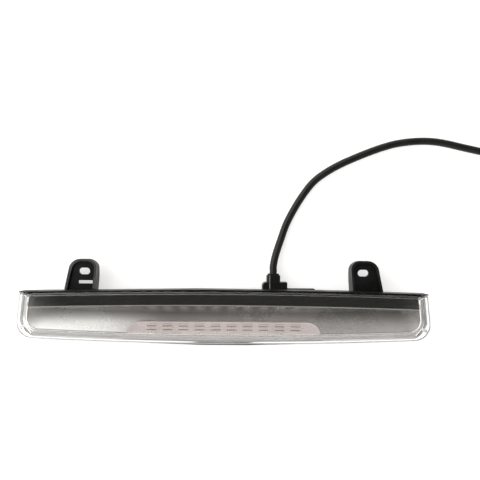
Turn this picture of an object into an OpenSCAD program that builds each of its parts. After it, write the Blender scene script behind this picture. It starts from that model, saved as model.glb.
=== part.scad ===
// High-level brake lamp: clear lens, metallised reflector, black housing with two slotted mounting
// tabs, ten light sources behind a pillow-grid optic, and a round lead with a connector.
// The lamp lies on its back: +X along the lamp, +Y towards the mounting tabs, +Z out of the lens.

/* [Lens outline] */
// Width over the lens rim, low on its sides
lamp_w = 392.8; // [330:0.2:480]
// Height of the lens rim at mid length
lamp_h = 51.5; // [50:0.1:62]
// Radius of the arched top edge
top_edge_r = 6040; // [4000:10:9000]
// Radius of the bowed bottom edge
bottom_edge_r = 3860; // [3000:10:9000]
// Radius of the two bottom corners
corner_r = 14.5; // [12:0.5:18]
// Radius of the two top corners
top_corner_r = 1.6; // [1:0.1:3]
// Lean of the sides, which draw in towards the top, in degrees
side_lean = 5.6; // [0:0.1:10]

/* [Lens] */
// Depth of the lens, rim to front
lens_d = 16.2; // [14:0.1:22]
// Height of the upright rim before the sides flare
lens_rim_h = 2; // [1.5:0.1:3]
// Wall of the lens, measured across the lamp
lens_wall = 2.4; // [2:0.1:3]
// Thickness of the lens front
lens_front_t = 2.2; // [1.8:0.1:3]
// How far each end draws in from rim to front
flare_side = 14.2; // [8:0.1:18]
// How far the bottom draws in from rim to front
flare_bottom = 9.5; // [6:0.1:12]
// How far the top draws in from rim to front
flare_top = 0.8; // [0.2:0.1:2]
// Rounding of the front edge of the lens
lens_edge_r = 1.6; // [0.5:0.1:2.5]

/* [Housing] */
// Depth of the housing, back to the face that carries the lens
housing_d = 20; // [20:0.5:26]
// Wall of the housing
housing_wall = 2.2; // [1.8:0.1:3]
// Thickness of the flange under the lens
flange_t = 2.5; // [2:0.1:3]
// How far the flange shows below the lens at mid length
flange_proud = 1.5; // [0.3:0.1:2]
// Thickness of the lip that stands up along the lens's top wall
lip_t = 0.8; // [0.6:0.1:1.2]
// Height of that lip over the lens rim's foot
lip_h = 13; // [8:0.1:13.5]
// How far the housing wall stands in from the lens rim
housing_inset = 5.5; // [4:0.1:6]
// How much further the ends and the bottom stand in at the back
housing_taper = 3; // [1:0.1:5]
// Height of that back step
back_step_z = 5; // [3:0.5:8]
// Thickness of the sealing bead under the lens
seal_t = 0.8; // [0.5:0.1:1.5]
// Depth of the panels sunk in the back
panel_depth = 0.8; // [0.4:0.1:1]

/* [Mounting tabs] */
// Distance between the two slot centres
slot_spacing = 266.8; // [200:0.2:290]
// Width of each slot
slot_w = 6.4; // [5.4:0.1:7]
// Length of each slot, end to end
slot_l = 10.4; // [8:0.1:12]
// Height of the slot centre over the top corners of the lens
slot_height = 19.5; // [15:0.1:21]
// Height of the tabs over the top corners of the lens
tab_h = 31.2; // [28:0.1:38]
// Width of each tab at its root
tab_root_w = 30; // [26:0.1:34]
// Wall of the tabs
tab_wall = 2.2; // [1.8:0.1:3]
// How far the plate sits behind the front of the rim
tab_plate_drop = 3; // [1:0.1:6]

/* [Reflector and bezel] */
// Clearance between the lens and what stands inside it
lens_gap = 0.5; // [0.3:0.1:1]
// Wall of the reflector
reflector_wall = 1.5; // [1.2:0.1:2]
// Gap between the lens front and the reflector's edge
front_gap = 1.8; // [1.5:0.1:3]
// Width of the bright edge round the bowl
crest_w = 1; // [0.6:0.1:1.4]
// Depth of the bowl
bowl_d = 18; // [16:0.1:18.5]
// Height of the black bezel under the top edge of the lens
bezel_h = 13.4; // [12:0.1:14]
// Thickness of the bezel
bezel_t = 2.4; // [1.6:0.1:3]

/* [Optic and light sources] */
// Length of the optic at its foot
optic_l = 179.6; // [178:0.2:200]
// Height of the optic's top wall over the bottom of the lens, at mid length
optic_h = 22.5; // [21.5:0.1:23]
// Radius of the optic's upper corners
optic_corner_r = 12; // [6:0.5:12]
// Wall of the optic
optic_wall = 1.8; // [1.4:0.1:2.2]
// Number of light sources
led_count = 10; // [6:2:10]
// Distance from one light source to the next
led_pitch = 15.2; // [14.6:0.1:16]
// Side of the square light source
led_side = 7.6; // [6:0.1:7.6]
// Diameter of the dome on each light source
dome_d = 4.8; // [3:0.1:5]
// Height of the light source's body
led_body_h = 3.4; // [3.3:0.1:3.8]
// Thickness of the circuit board
board_t = 1.6; // [1:0.2:2]
// Height of the circuit board's strip
board_h = 11; // [10:0.1:11]

/* [Screws] */
// Core diameter of the self-tapping screws
screw_d = 2.2; // [2:0.1:2.6]
// Diameter of the screw heads
head_d = 4.8; // [4:0.1:5]
// Height of the screw heads
head_h = 1.5; // [1.2:0.1:1.6]

/* [Cable] */
// Outer diameter of the cable
cable_d = 7.2; // [6:0.1:7.2]
// Place of the cable along the lamp
cable_x = 48; // [40:0.5:60]
// Height of the cable's centre over the back of the lamp
cable_z = 9; // [8:0.1:9.5]
// Height of the boot's lower block over the top corners of the lens
boot_block_h = 9.8; // [8:0.1:12]
// Height of the boot's collar over the top corners of the lens
boot_collar_h = 17.9; // [15:0.1:22]
// Mean radius of the coil
coil_r = 39.5; // [36:0.5:45]
// Bare diameter over each core
core_d = 1.9; // [1.4:0.1:2.2]

/* [Hidden] */
e = 0.01;
cut = 1;
arc_n = 8;
edge_n = 14;
slice_t = 0.02;

// Levels, counted from the back of the lamp.
rim_z = housing_d + seal_t;
flare_z = rim_z + lens_rim_h;
front_z = rim_z + lens_d;
crest_z = front_z - lens_front_t - front_gap;
deck_z = crest_z - bezel_t + 0.4;
flange_z = housing_d - flange_t;

// Overall places. The line y = 0 runs through the top corners of the lens.
half_top = lamp_w / 2 - (lamp_h - corner_r - 6) * tan(side_lean);
arch = half_top * half_top / (2 * top_edge_r);
bottom_y = arch - lamp_h;
centre_y = (tab_h + bottom_y - flange_proud) / 2;

// Height of the arched top line at x, for a line that stands at top_y at mid length.
function top_line(x, top_y) = top_y - x * x / (2 * top_edge_r);
function bottom_line(x, low_y) = low_y + x * x / (2 * bottom_edge_r);

// Points of a round corner from a to b whose sides meet at c: a conic, a true arc where they are square.
function corner(a, c, b) = [
    for (i = [0 : arc_n])
        let (t = i / arc_n, u = 1 - t, w = 2 * t * u * cos(45))
        (u * u * a + w * c + t * t * b) / (u * u + w + t * t)
];

// Closed outline: arched top, leaning sides, round bottom corners and bowed bottom.
function outline(hw, top_y, low_y, r, r_top) =
    let (
        yc = bottom_line(hw - r, low_y),
        ys = yc + r,
        run = top_line(hw, top_y) - ys,
        xt = hw - run * tan(side_lean),
        yt = top_line(xt, top_y),
        right = concat(
            corner([xt - r_top, top_line(xt - r_top, top_y)], [xt, yt],
                [xt + r_top * tan(side_lean), yt - r_top]),
            corner([hw, ys], [hw, yc], [hw - r, yc])
        ),
        low = [for (i = [1 : edge_n - 1])
            let (x = (hw - r) * (1 - 2 * i / edge_n)) [x, bottom_line(x, low_y)]],
        left = [for (i = [len(right) - 1 : -1 : 0]) [-right[i].x, right[i].y]],
        high = [for (i = [1 : edge_n - 1])
            let (x = (xt - r_top) * (2 * i / edge_n - 1)) [x, top_line(x, top_y)]]
    )
    concat(right, low, left, high);

// Share of the flare at level z: 0 at the rim, 1 at the front.
function flare(z) = max(0, (z - flare_z) / (front_z - flare_z));

// Outline of the lens at level z, drawn in by d.
function lens_ring(z, d) = outline(
    lamp_w / 2 - flare(z) * flare_side - d,
    arch - flare(z) * flare_top - d,
    bottom_y + flare(z) * flare_bottom + d,
    corner_r - flare(z) * 2 - d * 0.4,
    top_corner_r
);

// Outline of the housing: the top wall stays upright, ends and bottom draw in by more.
function housing_ring(more, d) = outline(
    lamp_w / 2 - housing_inset - more - d,
    arch - housing_inset - d,
    bottom_y + housing_inset + more + d,
    corner_r - 2 - d * 0.5,
    top_corner_r
);

// Outline of the bowl at a share s of its depth, grown by d.
bowl_top = arch - bezel_h - crest_w;
bowl_low = bottom_y + flare(crest_z) * flare_bottom + lens_wall + lens_gap + crest_w;
bowl_hw = lamp_w / 2 - flare(crest_z) * flare_side - lens_wall - lens_gap - crest_w;
bowl_steps = [[0, 0, 0, 0], [0.39, 3, 1, 6], [0.78, 8, 2, 13], [1, 14, 4, 18]];
function bowl_ring(step, d) = outline(
    bowl_hw - step[1] + d, bowl_top - step[2] + d, bowl_low + step[3] - d,
    max(2, 9 - step[1] * 0.5 + d), 1
);

module slice(points, z) { translate([0, 0, z]) linear_extrude(slice_t) polygon(points); }
module plate(points, z0, z1) { translate([0, 0, z0]) linear_extrude(z1 - z0) polygon(points); }
module lamp() { translate([0, -centre_y, 0]) children(); }
module at_x(places) { for (x = places) translate([x, 0, 0]) children(); }
module rod(r, z0, z1) { translate([0, 0, z0]) cylinder(r = r, h = z1 - z0, $fn = 48); }
module box(x, y, z) {
    translate([x[0], y[0], z[0]]) cube([x[1] - x[0], y[1] - y[0], z[1] - z[0]]);
}
module box2(x, y) { translate([x[0], y[0]]) square([x[1] - x[0], y[1] - y[0]]); }

// ---- Lens and seal ----

// Upright rim, and the flared part above it with its rounded front edge.
module lens_solid(d, z0, z1, edge) {
    plate(lens_ring(rim_z, d), z0, flare_z);
    hull() {
        slice(lens_ring(flare_z, d), flare_z - slice_t);
        slice(lens_ring(z1 - edge, d), z1 - edge);
        slice(lens_ring(z1, d + edge * 0.3), z1 - edge * 0.3);
        slice(lens_ring(z1, d + edge), z1 - slice_t);
    }
}

module lens_cover() {
    color([0.9, 0.92, 0.93, 0.45]) lamp() difference() {
        lens_solid(0, rim_z, front_z, lens_edge_r);
        lens_solid(lens_wall, rim_z - cut, front_z - lens_front_t, lens_edge_r / 2);
    }
}

module lens_seal() {
    color("dimgray") lamp() difference() {
        plate(lens_ring(rim_z, 0.5), housing_d, rim_z);
        plate(lens_ring(rim_z, lens_wall - 0.4), housing_d - cut, rim_z + cut);
    }
}

// ---- Housing ----

// Places that the housing shares with the pieces it carries.
board_screw_n = [0, 4, -4];
board_screw_x = [for (i = board_screw_n) i * led_pitch];
fixing_x = [lamp_w * 0.23, lamp_w * 0.42];
fixing_all_x = [fixing_x[0], -fixing_x[0], fixing_x[1], -fixing_x[1]];
fixing_drop = housing_inset + 4.8;
pillar_r = 2.4;
fixing_top_z = 12;
sink_depth = 8;
pilot_r = screw_d / 2;
pass_r = pilot_r + 0.3;
led_y = bottom_y + 14.6;
tray_floor = housing_wall;
vent_x = -lamp_w / 4;
vent_y = bottom_y + 26;
vent_r = 3.5;
vent_flange_r = 5;
pocket_floor_t = 1.3;
pocket_floor_z = housing_d + pocket_floor_t;
led_body_top = pocket_floor_z + 0.5;
board_top = led_body_top - led_body_h;
board_z = board_top - board_t;
ledge_y = 3.9;
ledge_l = 26.3;
ledge_z = [7, 16.5];

// Upright walls in two steps: the back step stands in further at the ends and the bottom.
module housing_solid(d, z0, z1) {
    plate(housing_ring(housing_taper, d), z0, back_step_z + d);
    plate(housing_ring(0, d), back_step_z + d, z1);
}

// The outside of the housing, which tabs and boot are cut to.
module housing_outside() {
    housing_solid(0, 0, flange_z);
    plate(lens_ring(rim_z, 0.3), flange_z, housing_d);
    plate(flange_bow(), flange_z, housing_d);
    plate(lip_band(-1), flange_z, housing_d);
    plate(lip_band(lip_clear), flange_z, rim_z + lip_h);
}

// Places along the flange's lower edge and the lip, evenly spaced over four fifths of the lamp.
function edge_x(i) = lamp_w * 0.4 * (2 * i / edge_n - 1);

// Lower edge of the flange: it bows more than the lens does and shows below it at mid length.
bow_rise = 2.2;
function flange_bow() = concat(
    [for (i = [0 : edge_n]) let (x = edge_x(i), t = x / edge_x(edge_n))
        [x, bottom_line(x, bottom_y) + flange_proud * ((1 + bow_rise) * t * t - 1)]],
    [[edge_x(edge_n), led_y], [edge_x(0), led_y]]
);

// Strip along the arched top edge, from low over the lens's top line to the lip's outer face.
lip_clear = 0.15;
lip_x = concat([3 - half_top], [for (i = [0 : edge_n]) edge_x(i)], [half_top - 3]);
function lip_band(low) = concat(
    [for (x = lip_x) [x, top_line(x, arch + lip_clear + lip_t)]],
    [for (i = [len(lip_x) - 1 : -1 : 0]) [lip_x[i], top_line(lip_x[i], arch + low)]]
);

module fixing_places() {
    for (x = fixing_all_x) translate([x, top_line(x, arch) - fixing_drop, 0]) children();
}

module back_panels() {
    panel_l = lamp_w / 7.6;
    gap = 6;
    for (i = [-2.5 : 1 : 2.5])
        box([i * (panel_l + gap) - panel_l / 2, i * (panel_l + gap) + panel_l / 2],
            [bottom_y + 16, arch - fixing_drop - 7], [-cut, panel_depth]);
}

module rear_housing() {
    color([0.05, 0.05, 0.055]) lamp() difference() {
        union() {
            difference() {
                housing_outside();
                housing_solid(housing_wall, tray_floor, housing_d + cut);
            }
            // Long bosses for the reflector screws, short ones for the circuit board.
            fixing_places() rod(3.9, 1, fixing_top_z);
            at_x(board_screw_x) translate([0, led_y, 0]) rod(2.9, 1, board_z);
            // Pad for the cable clamp and the collar round the vent.
            box([clamp_foot_x[0], cable_x + clamp_r + 1], clamp_y, [1, clamp_pad_z]);
            translate([vent_x, vent_y, 0]) rod(vent_flange_r + 1.2, 1, 3.6);
            // Ledge along the top wall beside the boot.
            box([block_x[1], block_x[1] + ledge_l], [wall_y - 1, ledge_y], ledge_z);
        }
        back_panels();
        fixing_places() {
            rod(pass_r, -cut, fixing_top_z + cut);
            rod(head_d / 2 + 0.3, -cut, sink_depth);
        }
        at_x(board_screw_x) translate([0, led_y, 0]) rod(pilot_r, board_z - 9, board_z + cut);
        translate([clamp_screw_x, clamp_mid_y, 0]) rod(pilot_r, 1.2, clamp_pad_z + cut);
        translate([vent_x, vent_y, 0]) {
            rod(vent_r, -cut, 4);
            rod(vent_flange_r, -cut, 1.4);
        }
        boot_neck();
    }
}

module breather_vent() {
    color("lightgray") lamp() translate([vent_x, vent_y, 0]) difference() {
        union() {
            rod(vent_r, 1.4, 3.6);
            rod(vent_flange_r - 0.2, 0.2, 1.4);
        }
        rod(1.2, -cut, 5);
    }
}

// ---- Mounting tabs ----

tab_root_x = slot_spacing / 2 + 5.6;
tab_lean_in = 4.2;
tab_top_w = tab_root_w - 4.6;
tab_corner = 8;
tab_front_z = housing_d;
tab_plate_t = 2.5;
slot_x = slot_spacing / 2;
tab_floor_y = arch - housing_inset - 5;

// Outline of the right tab, drawn in by d: it leans towards the lamp's middle and narrows upward.
function tab_outline(d) =
    let (
        inner_low = [tab_root_x - tab_root_w / 2 + d, tab_floor_y],
        outer_low = [tab_root_x + tab_root_w / 2 - d, tab_floor_y],
        top = tab_h - d,
        inner_x = inner_low.x - tab_lean_in * 0.62,
        outer_x = outer_low.x - tab_lean_in * 2,
        r = tab_corner - d * 0.6
    )
    concat(
        [inner_low],
        corner([inner_x, top - r], [inner_x, top], [inner_x + r, top]),
        corner([outer_x - r, top], [outer_x, top], [outer_x + r * 0.25, top - r]),
        [outer_low]
    );

// Shape of the back edge of the tab, seen from the side: shallow at the top, deepest at mid height.
module tab_side() {
    rise = tab_h - tab_floor_y;
    points = [for (i = [0 : 10])
        let (t = i / 10) [tab_floor_y + t * rise, 0.5 + 13 * pow(t, 3.2) + 3 * pow(1 - t, 3)]];
    rotate([90, 0, 90]) translate([0, 0, tab_root_x - 40]) linear_extrude(80)
        polygon(concat([[tab_h, tab_front_z], [tab_floor_y, tab_front_z]], points));
}

module tab_solid() {
    plate_z = tab_front_z - tab_plate_drop - tab_plate_t;
    difference() {
        intersection() {
            plate(tab_outline(0), 0, tab_front_z);
            tab_side();
        }
        plate(tab_outline(tab_wall), plate_z + tab_plate_t, tab_front_z + cut);
        plate(tab_outline(tab_wall), -cut, plate_z);
        housing_outside();
        // Slot: two round ends and the straight part between them.
        for (side = [-1, 1])
            translate([slot_x + side * (slot_l - slot_w) / 2, slot_height, 0]) rod(slot_w / 2, 0, housing_d);
        box([slot_x - (slot_l - slot_w) / 2, slot_x + (slot_l - slot_w) / 2],
            [slot_height - slot_w / 2, slot_height + slot_w / 2], [0, housing_d]);
    }
}

window_x = [slot_x - 7.7, slot_x + 5.8];
window_y = [7.6, 10.7];

module left_mounting_tab() {
    color([0.06, 0.06, 0.065]) lamp() difference() {
        mirror([1, 0, 0]) tab_solid();
        box([-window_x[1], -window_x[0]], window_y, [0, housing_d]);
    }
}

module right_mounting_tab() {
    color([0.06, 0.06, 0.065]) lamp() difference() {
        tab_solid();
        box([slot_x + 7.4, slot_x + 11.8], window_y, [tab_front_z - tab_plate_drop - 1, housing_d]);
    }
}

// ---- Reflector, bezel and optic ----

inside = lens_wall + lens_gap;
foot_inset = inside + 0.5;
optic_top_y = bottom_y + optic_h;
optic_clear = 0.3;

// Outline of the optic, grown by d: straight top, round upper corners, open to the bottom.
function optic_outline(d) =
    let (
        hw = optic_l / 2 + d,
        top = optic_top_y + d,
        r = optic_corner_r + d,
        right = corner([hw - r, top], [hw, top], [hw, top - r])
    )
    concat(right, [[hw, bottom_y - 5], [-hw, bottom_y - 5]],
        [for (i = [len(right) - 1 : -1 : 0]) [-right[i].x, right[i].y]]);

module reflector_outside() {
    hull() {
        plate(lens_ring(rim_z, foot_inset), housing_d, rim_z);
        slice(lens_ring(flare_z, inside), flare_z);
        slice(lens_ring(crest_z, inside), crest_z - slice_t);
    }
}

module bowl(d) {
    hull() for (step = bowl_steps)
        slice(bowl_ring(step, step[0] > 0 ? d : min(d, crest_w / 2)),
            crest_z - step[0] * bowl_d - (step[0] > 0 ? d : -e) - slice_t);
}

module reflector() {
    ceiling_z = deck_z - reflector_wall;
    color([0.83, 0.83, 0.84]) lamp() difference() {
        union() {
            difference() {
                reflector_outside();
                hull() {
                    plate(lens_ring(rim_z, foot_inset + reflector_wall), housing_d - cut, rim_z);
                    slice(lens_ring(ceiling_z, inside + reflector_wall), ceiling_z - slice_t);
                }
            }
            bowl(reflector_wall);
            // Pocket that the optic stands in: floor and side walls up to the bowl.
            intersection() {
                union() {
                    difference() {
                        plate(optic_outline(optic_clear + reflector_wall), pocket_floor_z, crest_z);
                        plate(optic_outline(optic_clear), pocket_floor_z - cut, crest_z + cut);
                    }
                    plate(optic_outline(optic_clear + reflector_wall), pocket_floor_z - pocket_floor_t,
                        pocket_floor_z);
                }
                reflector_outside();
            }
            // Pillars that stand on the housing's bosses.
            fixing_places() rod(pillar_r, fixing_top_z, ceiling_z + e);
        }
        bowl(0);
        plate(optic_outline(optic_clear), pocket_floor_z, crest_z + cut);
        difference() {
            plate(lens_ring(crest_z, inside - cut), deck_z, crest_z + cut);
            plate(bezel_edge(0), deck_z - cut, crest_z + 2 * cut);
        }
        fixing_places() rod(pilot_r, fixing_top_z - cut, fixing_top_z + 11);
        led_places() translate([-led_side / 2 - 0.3, -led_side / 2 - 0.3, pocket_floor_z - pocket_floor_t - cut])
            cube([led_side + 0.6, led_side + 0.6, pocket_floor_t + 2 * cut]);
    }
}

// Everything under the bezel's lower edge.
function bezel_edge(d) = concat(
    [for (i = [0 : edge_n])
        let (x = (lamp_w / 2) * (2 * i / edge_n - 1)) [x, top_line(x, arch - bezel_h + d)]],
    [[lamp_w / 2, bottom_y - 10], [-lamp_w / 2, bottom_y - 10]]
);

module upper_bezel() {
    color([0.04, 0.04, 0.045]) lamp() difference() {
        plate(lens_ring(crest_z, inside + 0.2), deck_z, crest_z + 0.4);
        plate(bezel_edge(0), deck_z - cut, crest_z + cut);
    }
}

module inner_optic() {
    optic_front = crest_z + 1;
    color([0.93, 0.9, 0.9, 0.5]) lamp() difference() {
        intersection() {
            plate(optic_outline(0), pocket_floor_z, optic_front);
            hull() {
                plate(lens_ring(rim_z, foot_inset), housing_d, rim_z);
                slice(lens_ring(flare_z, inside), flare_z);
                slice(lens_ring(optic_front, inside), optic_front - slice_t);
            }
        }
        intersection() {
            plate(optic_outline(-optic_wall), pocket_floor_z - cut, optic_front - optic_wall);
            hull() {
                slice(lens_ring(rim_z, foot_inset + optic_wall), pocket_floor_z - cut - slice_t);
                slice(lens_ring(optic_front, inside + optic_wall), optic_front - slice_t);
            }
        }
    }
}

// ---- Circuit board and what it carries ----

board_hl = led_pitch * led_count / 2 + 8;

module led_places() {
    for (i = [0 : led_count - 1])
        translate([(i - (led_count - 1) / 2) * led_pitch, led_y, 0]) children();
}

module circuit_board() {
    color([0.1, 0.35, 0.18]) lamp() difference() {
        box([-board_hl, board_hl], [led_y - board_h / 2, led_y + board_h / 2], [board_z, board_top]);
        at_x(board_screw_x) translate([0, led_y, 0]) rod(pass_r, board_z - cut, board_top + cut);
    }
}

module led_bodies() {
    color([0.93, 0.86, 0.84]) lamp() led_places()
        translate([-led_side / 2, -led_side / 2, board_top]) cube([led_side, led_side, led_body_h]);
}

module led_domes() {
    color([0.95, 0.9, 0.88]) lamp() led_places() intersection() {
        translate([0, 0, led_body_top]) sphere(d = dome_d, $fn = 32);
        rod(dome_d, led_body_top, led_body_top + dome_d);
    }
}

// A part of size [x, y, z] fixed under the board at x.
module under_board(x, size) {
    translate([x - size.x / 2, led_y - size.y / 2, board_z - size.z]) cube(size);
}

module resistors() {
    color([0.12, 0.12, 0.13]) lamp() for (x = [-74, -48, -40, 44, 72]) under_board(x, [6.3, 3.2, 0.7]);
}

module protection_diode() { color([0.1, 0.1, 0.1]) lamp() under_board(12, [4.5, 2.7, 2.2]); }

module driver_chip() { color([0.08, 0.08, 0.08]) lamp() under_board(-12, [5, 6, 1.6]); }

module smoothing_capacitor() {
    color("silver") lamp() translate([-25, led_y, 0]) rod(3.1, board_z - 7.7, board_z);
}

header_x = 28;
header_size = [7.5, 6, 7];
lead_z = board_z - 4;
lead_gap = 2.6;

module board_header() { color("ivory") lamp() under_board(header_x, header_size); }

module board_screws() {
    color("silver") lamp() at_x(board_screw_x) translate([0, led_y, 0]) {
        rod(pilot_r, board_z - 8, board_top);
        rod(head_d / 2, board_top, board_top + head_h);
    }
}

module reflector_screws() {
    color("silver") lamp() fixing_places() {
        rod(pilot_r, sink_depth - e, fixing_top_z + 10);
        rod(head_d / 2, sink_depth - head_h, sink_depth);
    }
}

// ---- Tubes ----

function unit(v) = v / norm(v);
function direction(path, i) = unit(path[min(i + 1, len(path) - 1)] - path[max(i - 1, 0)]);

// Round tube of radius r swept along a path with n sides.
module tube(path, r, n) {
    rings = [
        for (i = [0 : len(path) - 1])
            let (d = direction(path, i), s = unit(cross(d, [0, 0, 1])), u = cross(s, d))
            for (k = [0 : n - 1]) path[i] + r * (cos(360 * (k + 0.5) / n) * s + sin(360 * (k + 0.5) / n) * u)
    ];
    last = (len(path) - 1) * n;
    faces = concat(
        [[for (k = [0 : n - 1]) k]],
        [for (i = [0 : len(path) - 2]) for (k = [0 : n - 1])
            let (a = i * n + k, b = i * n + (k + 1) % n) [a, a + n, b + n, b]],
        [[for (k = [n - 1 : -1 : 0]) last + k]]
    );
    polyhedron(points = rings, faces = faces);
}

// Smooth run through the points: a Catmull-Rom spline with k steps a span.
function spline(p, k) = let (m = len(p)) concat(
    [for (i = [0 : m - 2]) for (j = [0 : k - 1])
        let (
            t = j / k,
            a = i > 0 ? p[i - 1] : 2 * p[0] - p[1],
            b = p[i],
            c = p[i + 1],
            d = i < m - 2 ? p[i + 2] : 2 * p[m - 1] - p[m - 2]
        )
        0.5 * (2 * b + t * (c - a) + t * t * (2 * a - 5 * b + 4 * c - d) + t * t * t * (3 * b - a - 3 * c + d))],
    [p[m - 1]]
);

// ---- Cable inside the lamp ----

wall_y = top_line(cable_x, arch - housing_inset);
wall_in_y = wall_y - housing_wall;
stub_y = wall_in_y - 8.5;
cable_r = cable_d / 2;
clamp_t = 1.2;
clamp_mid_y = wall_in_y - 5;
clamp_y = [clamp_mid_y - 2, clamp_mid_y + 2];
clamp_pad_z = 4;
clamp_r = cable_r + clamp_t;
clamp_foot_x = [cable_x - clamp_r - 6, cable_x - clamp_r + clamp_t];
clamp_screw_x = cable_x - clamp_r - 2.8;
foot_t = 1.5;

module lie_y(y0, y1) { translate([cable_x, y1, cable_z]) rotate([90, 0, 0]) linear_extrude(y1 - y0) children(); }

module cable_inner_end() {
    color([0.07, 0.07, 0.07]) lamp() lie_y(stub_y, boot_collar_h) circle(r = cable_r, $fn = 48);
}

module cable_clamp() {
    color([0.2, 0.2, 0.21]) lamp() difference() {
        union() {
            lie_y(clamp_y[0], clamp_y[1]) circle(r = clamp_r, $fn = 48);
            box([cable_x - clamp_r, cable_x + clamp_r], clamp_y, [clamp_pad_z, cable_z]);
            box([clamp_foot_x[0], cable_x], clamp_y, [clamp_pad_z, clamp_pad_z + foot_t]);
        }
        lie_y(clamp_y[0] - cut, clamp_y[1] + cut) circle(r = cable_r, $fn = 48);
        box([cable_x - cable_r, cable_x + cable_r], [clamp_y[0] - cut, clamp_y[1] + cut], [0, cable_z]);
        box([cable_x - 9, cable_x + 9], [clamp_y[0] - cut, clamp_y[1] + cut], [0, clamp_pad_z]);
        translate([clamp_screw_x, clamp_mid_y, 0]) rod(pilot_r, 0, cable_z);
    }
}

module clamp_screw() {
    color("silver") lamp() translate([clamp_screw_x, clamp_mid_y, 0]) {
        rod(pilot_r, 1.6, clamp_pad_z + foot_t);
        rod(2, clamp_pad_z + foot_t, clamp_pad_z + foot_t + head_h);
    }
}

// The lead of one core, from the cable's cut jacket to the header, side -1 or 1.
module inner_lead(side) {
    x0 = cable_x + side * 1.5;
    x1 = header_x + side * lead_gap / 2;
    y1 = led_y + header_size.y / 2;
    tube(spline([
        [x0, stub_y, cable_z], [x0, stub_y - 1, cable_z], [x0, stub_y - 2, cable_z],
        [x0 - 3, stub_y - 7, cable_z - 2 + side * 1.4], [(x0 + x1) / 2, stub_y - 9, 6.2 + side * 1.5],
        [x1, y1 + 7, 7.4 + side * 1.4], [x1, y1 + 3, lead_z], [x1, y1 + 1.5, lead_z], [x1, y1, lead_z]
    ], 3), core_d / 2, 8);
}

module red_lead() { color("firebrick") lamp() inner_lead(-1); }
module black_lead() { color([0.1, 0.1, 0.1]) lamp() inner_lead(1); }

// ---- Cable boot ----

neck_hw = 7.5;
neck_gap = 0.4;
neck_z = [3.4, 14.6];
block_x = [cable_x - 10.8, cable_x + 13.1];
block_z = [2, 16];
collar_hw = 6.5;
collar_z = [3, 15];

module boot_neck() {
    box([cable_x - neck_hw, cable_x + neck_hw], [wall_in_y - neck_gap, wall_y + neck_gap], neck_z);
}

// Round-cornered section of the boot: a square of side 2h with corners of radius r, less at the right.
module boot_tier(x, z, y0, y1, r) {
    translate([0, y1, 0]) rotate([90, 0, 0]) linear_extrude(y1 - y0) union() {
        for (cx = [x[0] + r, x[1] - r]) for (cz = [z[0] + r, z[1] - r])
            translate([cx, cz]) circle(r = r, $fn = 40);
        box2([x[0] + r, x[1] - r], z);
        box2(x, [z[0] + r, z[1] - r]);
    }
}

module cable_boot() {
    shoulder = 4;
    color([0.05, 0.05, 0.05]) lamp() difference() {
        union() {
            difference() {
                boot_tier(block_x, block_z, wall_y - 2, boot_block_h, 1.2);
                housing_outside();
                // Round left shoulder of the block.
                difference() {
                    box([block_x[0] - cut, block_x[0] + shoulder], [boot_block_h - shoulder, boot_block_h + cut],
                        [0, housing_d]);
                    translate([block_x[0] + shoulder, boot_block_h - shoulder, 0]) rod(shoulder, -cut, housing_d + cut);
                }
            }
            boot_tier([cable_x - collar_hw, cable_x + collar_hw], collar_z, boot_block_h - 1,
                boot_collar_h - 1.5, 3);
            boot_tier([cable_x - collar_hw + 1, cable_x + collar_hw - 1], [collar_z[0] + 1, collar_z[1] - 1],
                boot_collar_h - 2, boot_collar_h, 3);
            boot_neck();
            boot_tier([cable_x - neck_hw - 1.6, cable_x + neck_hw + 1.6], [neck_z[0] - 1, neck_z[1] + 0.6],
                wall_in_y - 2, wall_in_y - neck_gap / 2, 1);
        }
        lie_y(wall_in_y - 4, boot_collar_h + cut) circle(r = cable_r, $fn = 48);
    }
}

// ---- Cable outside, coil and connector, in the lamp's final frame ----

floor_z = cable_r;
exit_y = boot_collar_h - centre_y;
route = concat(
    // Straight out of the boot, bending down to the floor,
    [for (run = [0, 3.5, 7.5]) [cable_x, exit_y + run, cable_z]],
    [[49.6, 43, 8.2], [52.4, 52, 6.4], [55.6, 61, 4.6]],
    // then along the floor to the coil.
    [for (p = [
        [60.6, 75], [67.6, 89], [76.8, 104], [87.4, 117.4], [100.6, 127.4], [113.8, 134.8], [127, 140.8],
        [140, 146.2], [153, 151], [166, 154.8], [179, 157], [192, 158], [205, 157.6], [218, 155.6],
        [233, 152.2], [250, 148.6], [268, 144.8], [286, 140.9], [302, 137.4], [316.7, 134.2]
    ]) [p.x, p.y, floor_z]]
);
coil_centre = [307, 88.5];
coil_hw = cable_d * 1.5;
tail_route = [
    [354.9, 88.5, 3 * floor_z], [354.6, 78, 2.8 * floor_z], [354.2, 68, 2 * floor_z], [354, 59, 1.22 * floor_z],
    [354, 53, floor_z], [354, 50.5, floor_z], [354, 48, floor_z]
];
sleeve_l = 14;
core_l = 26;
connector_l = 20;
tail_end = tail_route[len(tail_route) - 1];
tail_x = tail_end.x;
sleeve_y = tail_end.y - sleeve_l;
connector_y = sleeve_y - core_l;
connector_hw = 7.5;
connector_h = 9;

module cable() { color([0.07, 0.07, 0.07]) tube(spline(route, 2), cable_r, 12); }

module cable_coil() {
    soft = 3;
    color([0.07, 0.07, 0.07]) translate([coil_centre.x, coil_centre.y, 0]) rotate_extrude($fn = 96) union() {
        for (x = [coil_r - coil_hw + soft, coil_r + coil_hw - soft]) for (z = [soft, 2 * cable_d - soft])
            translate([x, z]) circle(r = soft, $fn = 32);
        box2([coil_r - coil_hw + soft, coil_r + coil_hw - soft], [0, 2 * cable_d]);
        box2([coil_r - coil_hw, coil_r + coil_hw], [soft, 2 * cable_d - soft]);
    }
}

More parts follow.
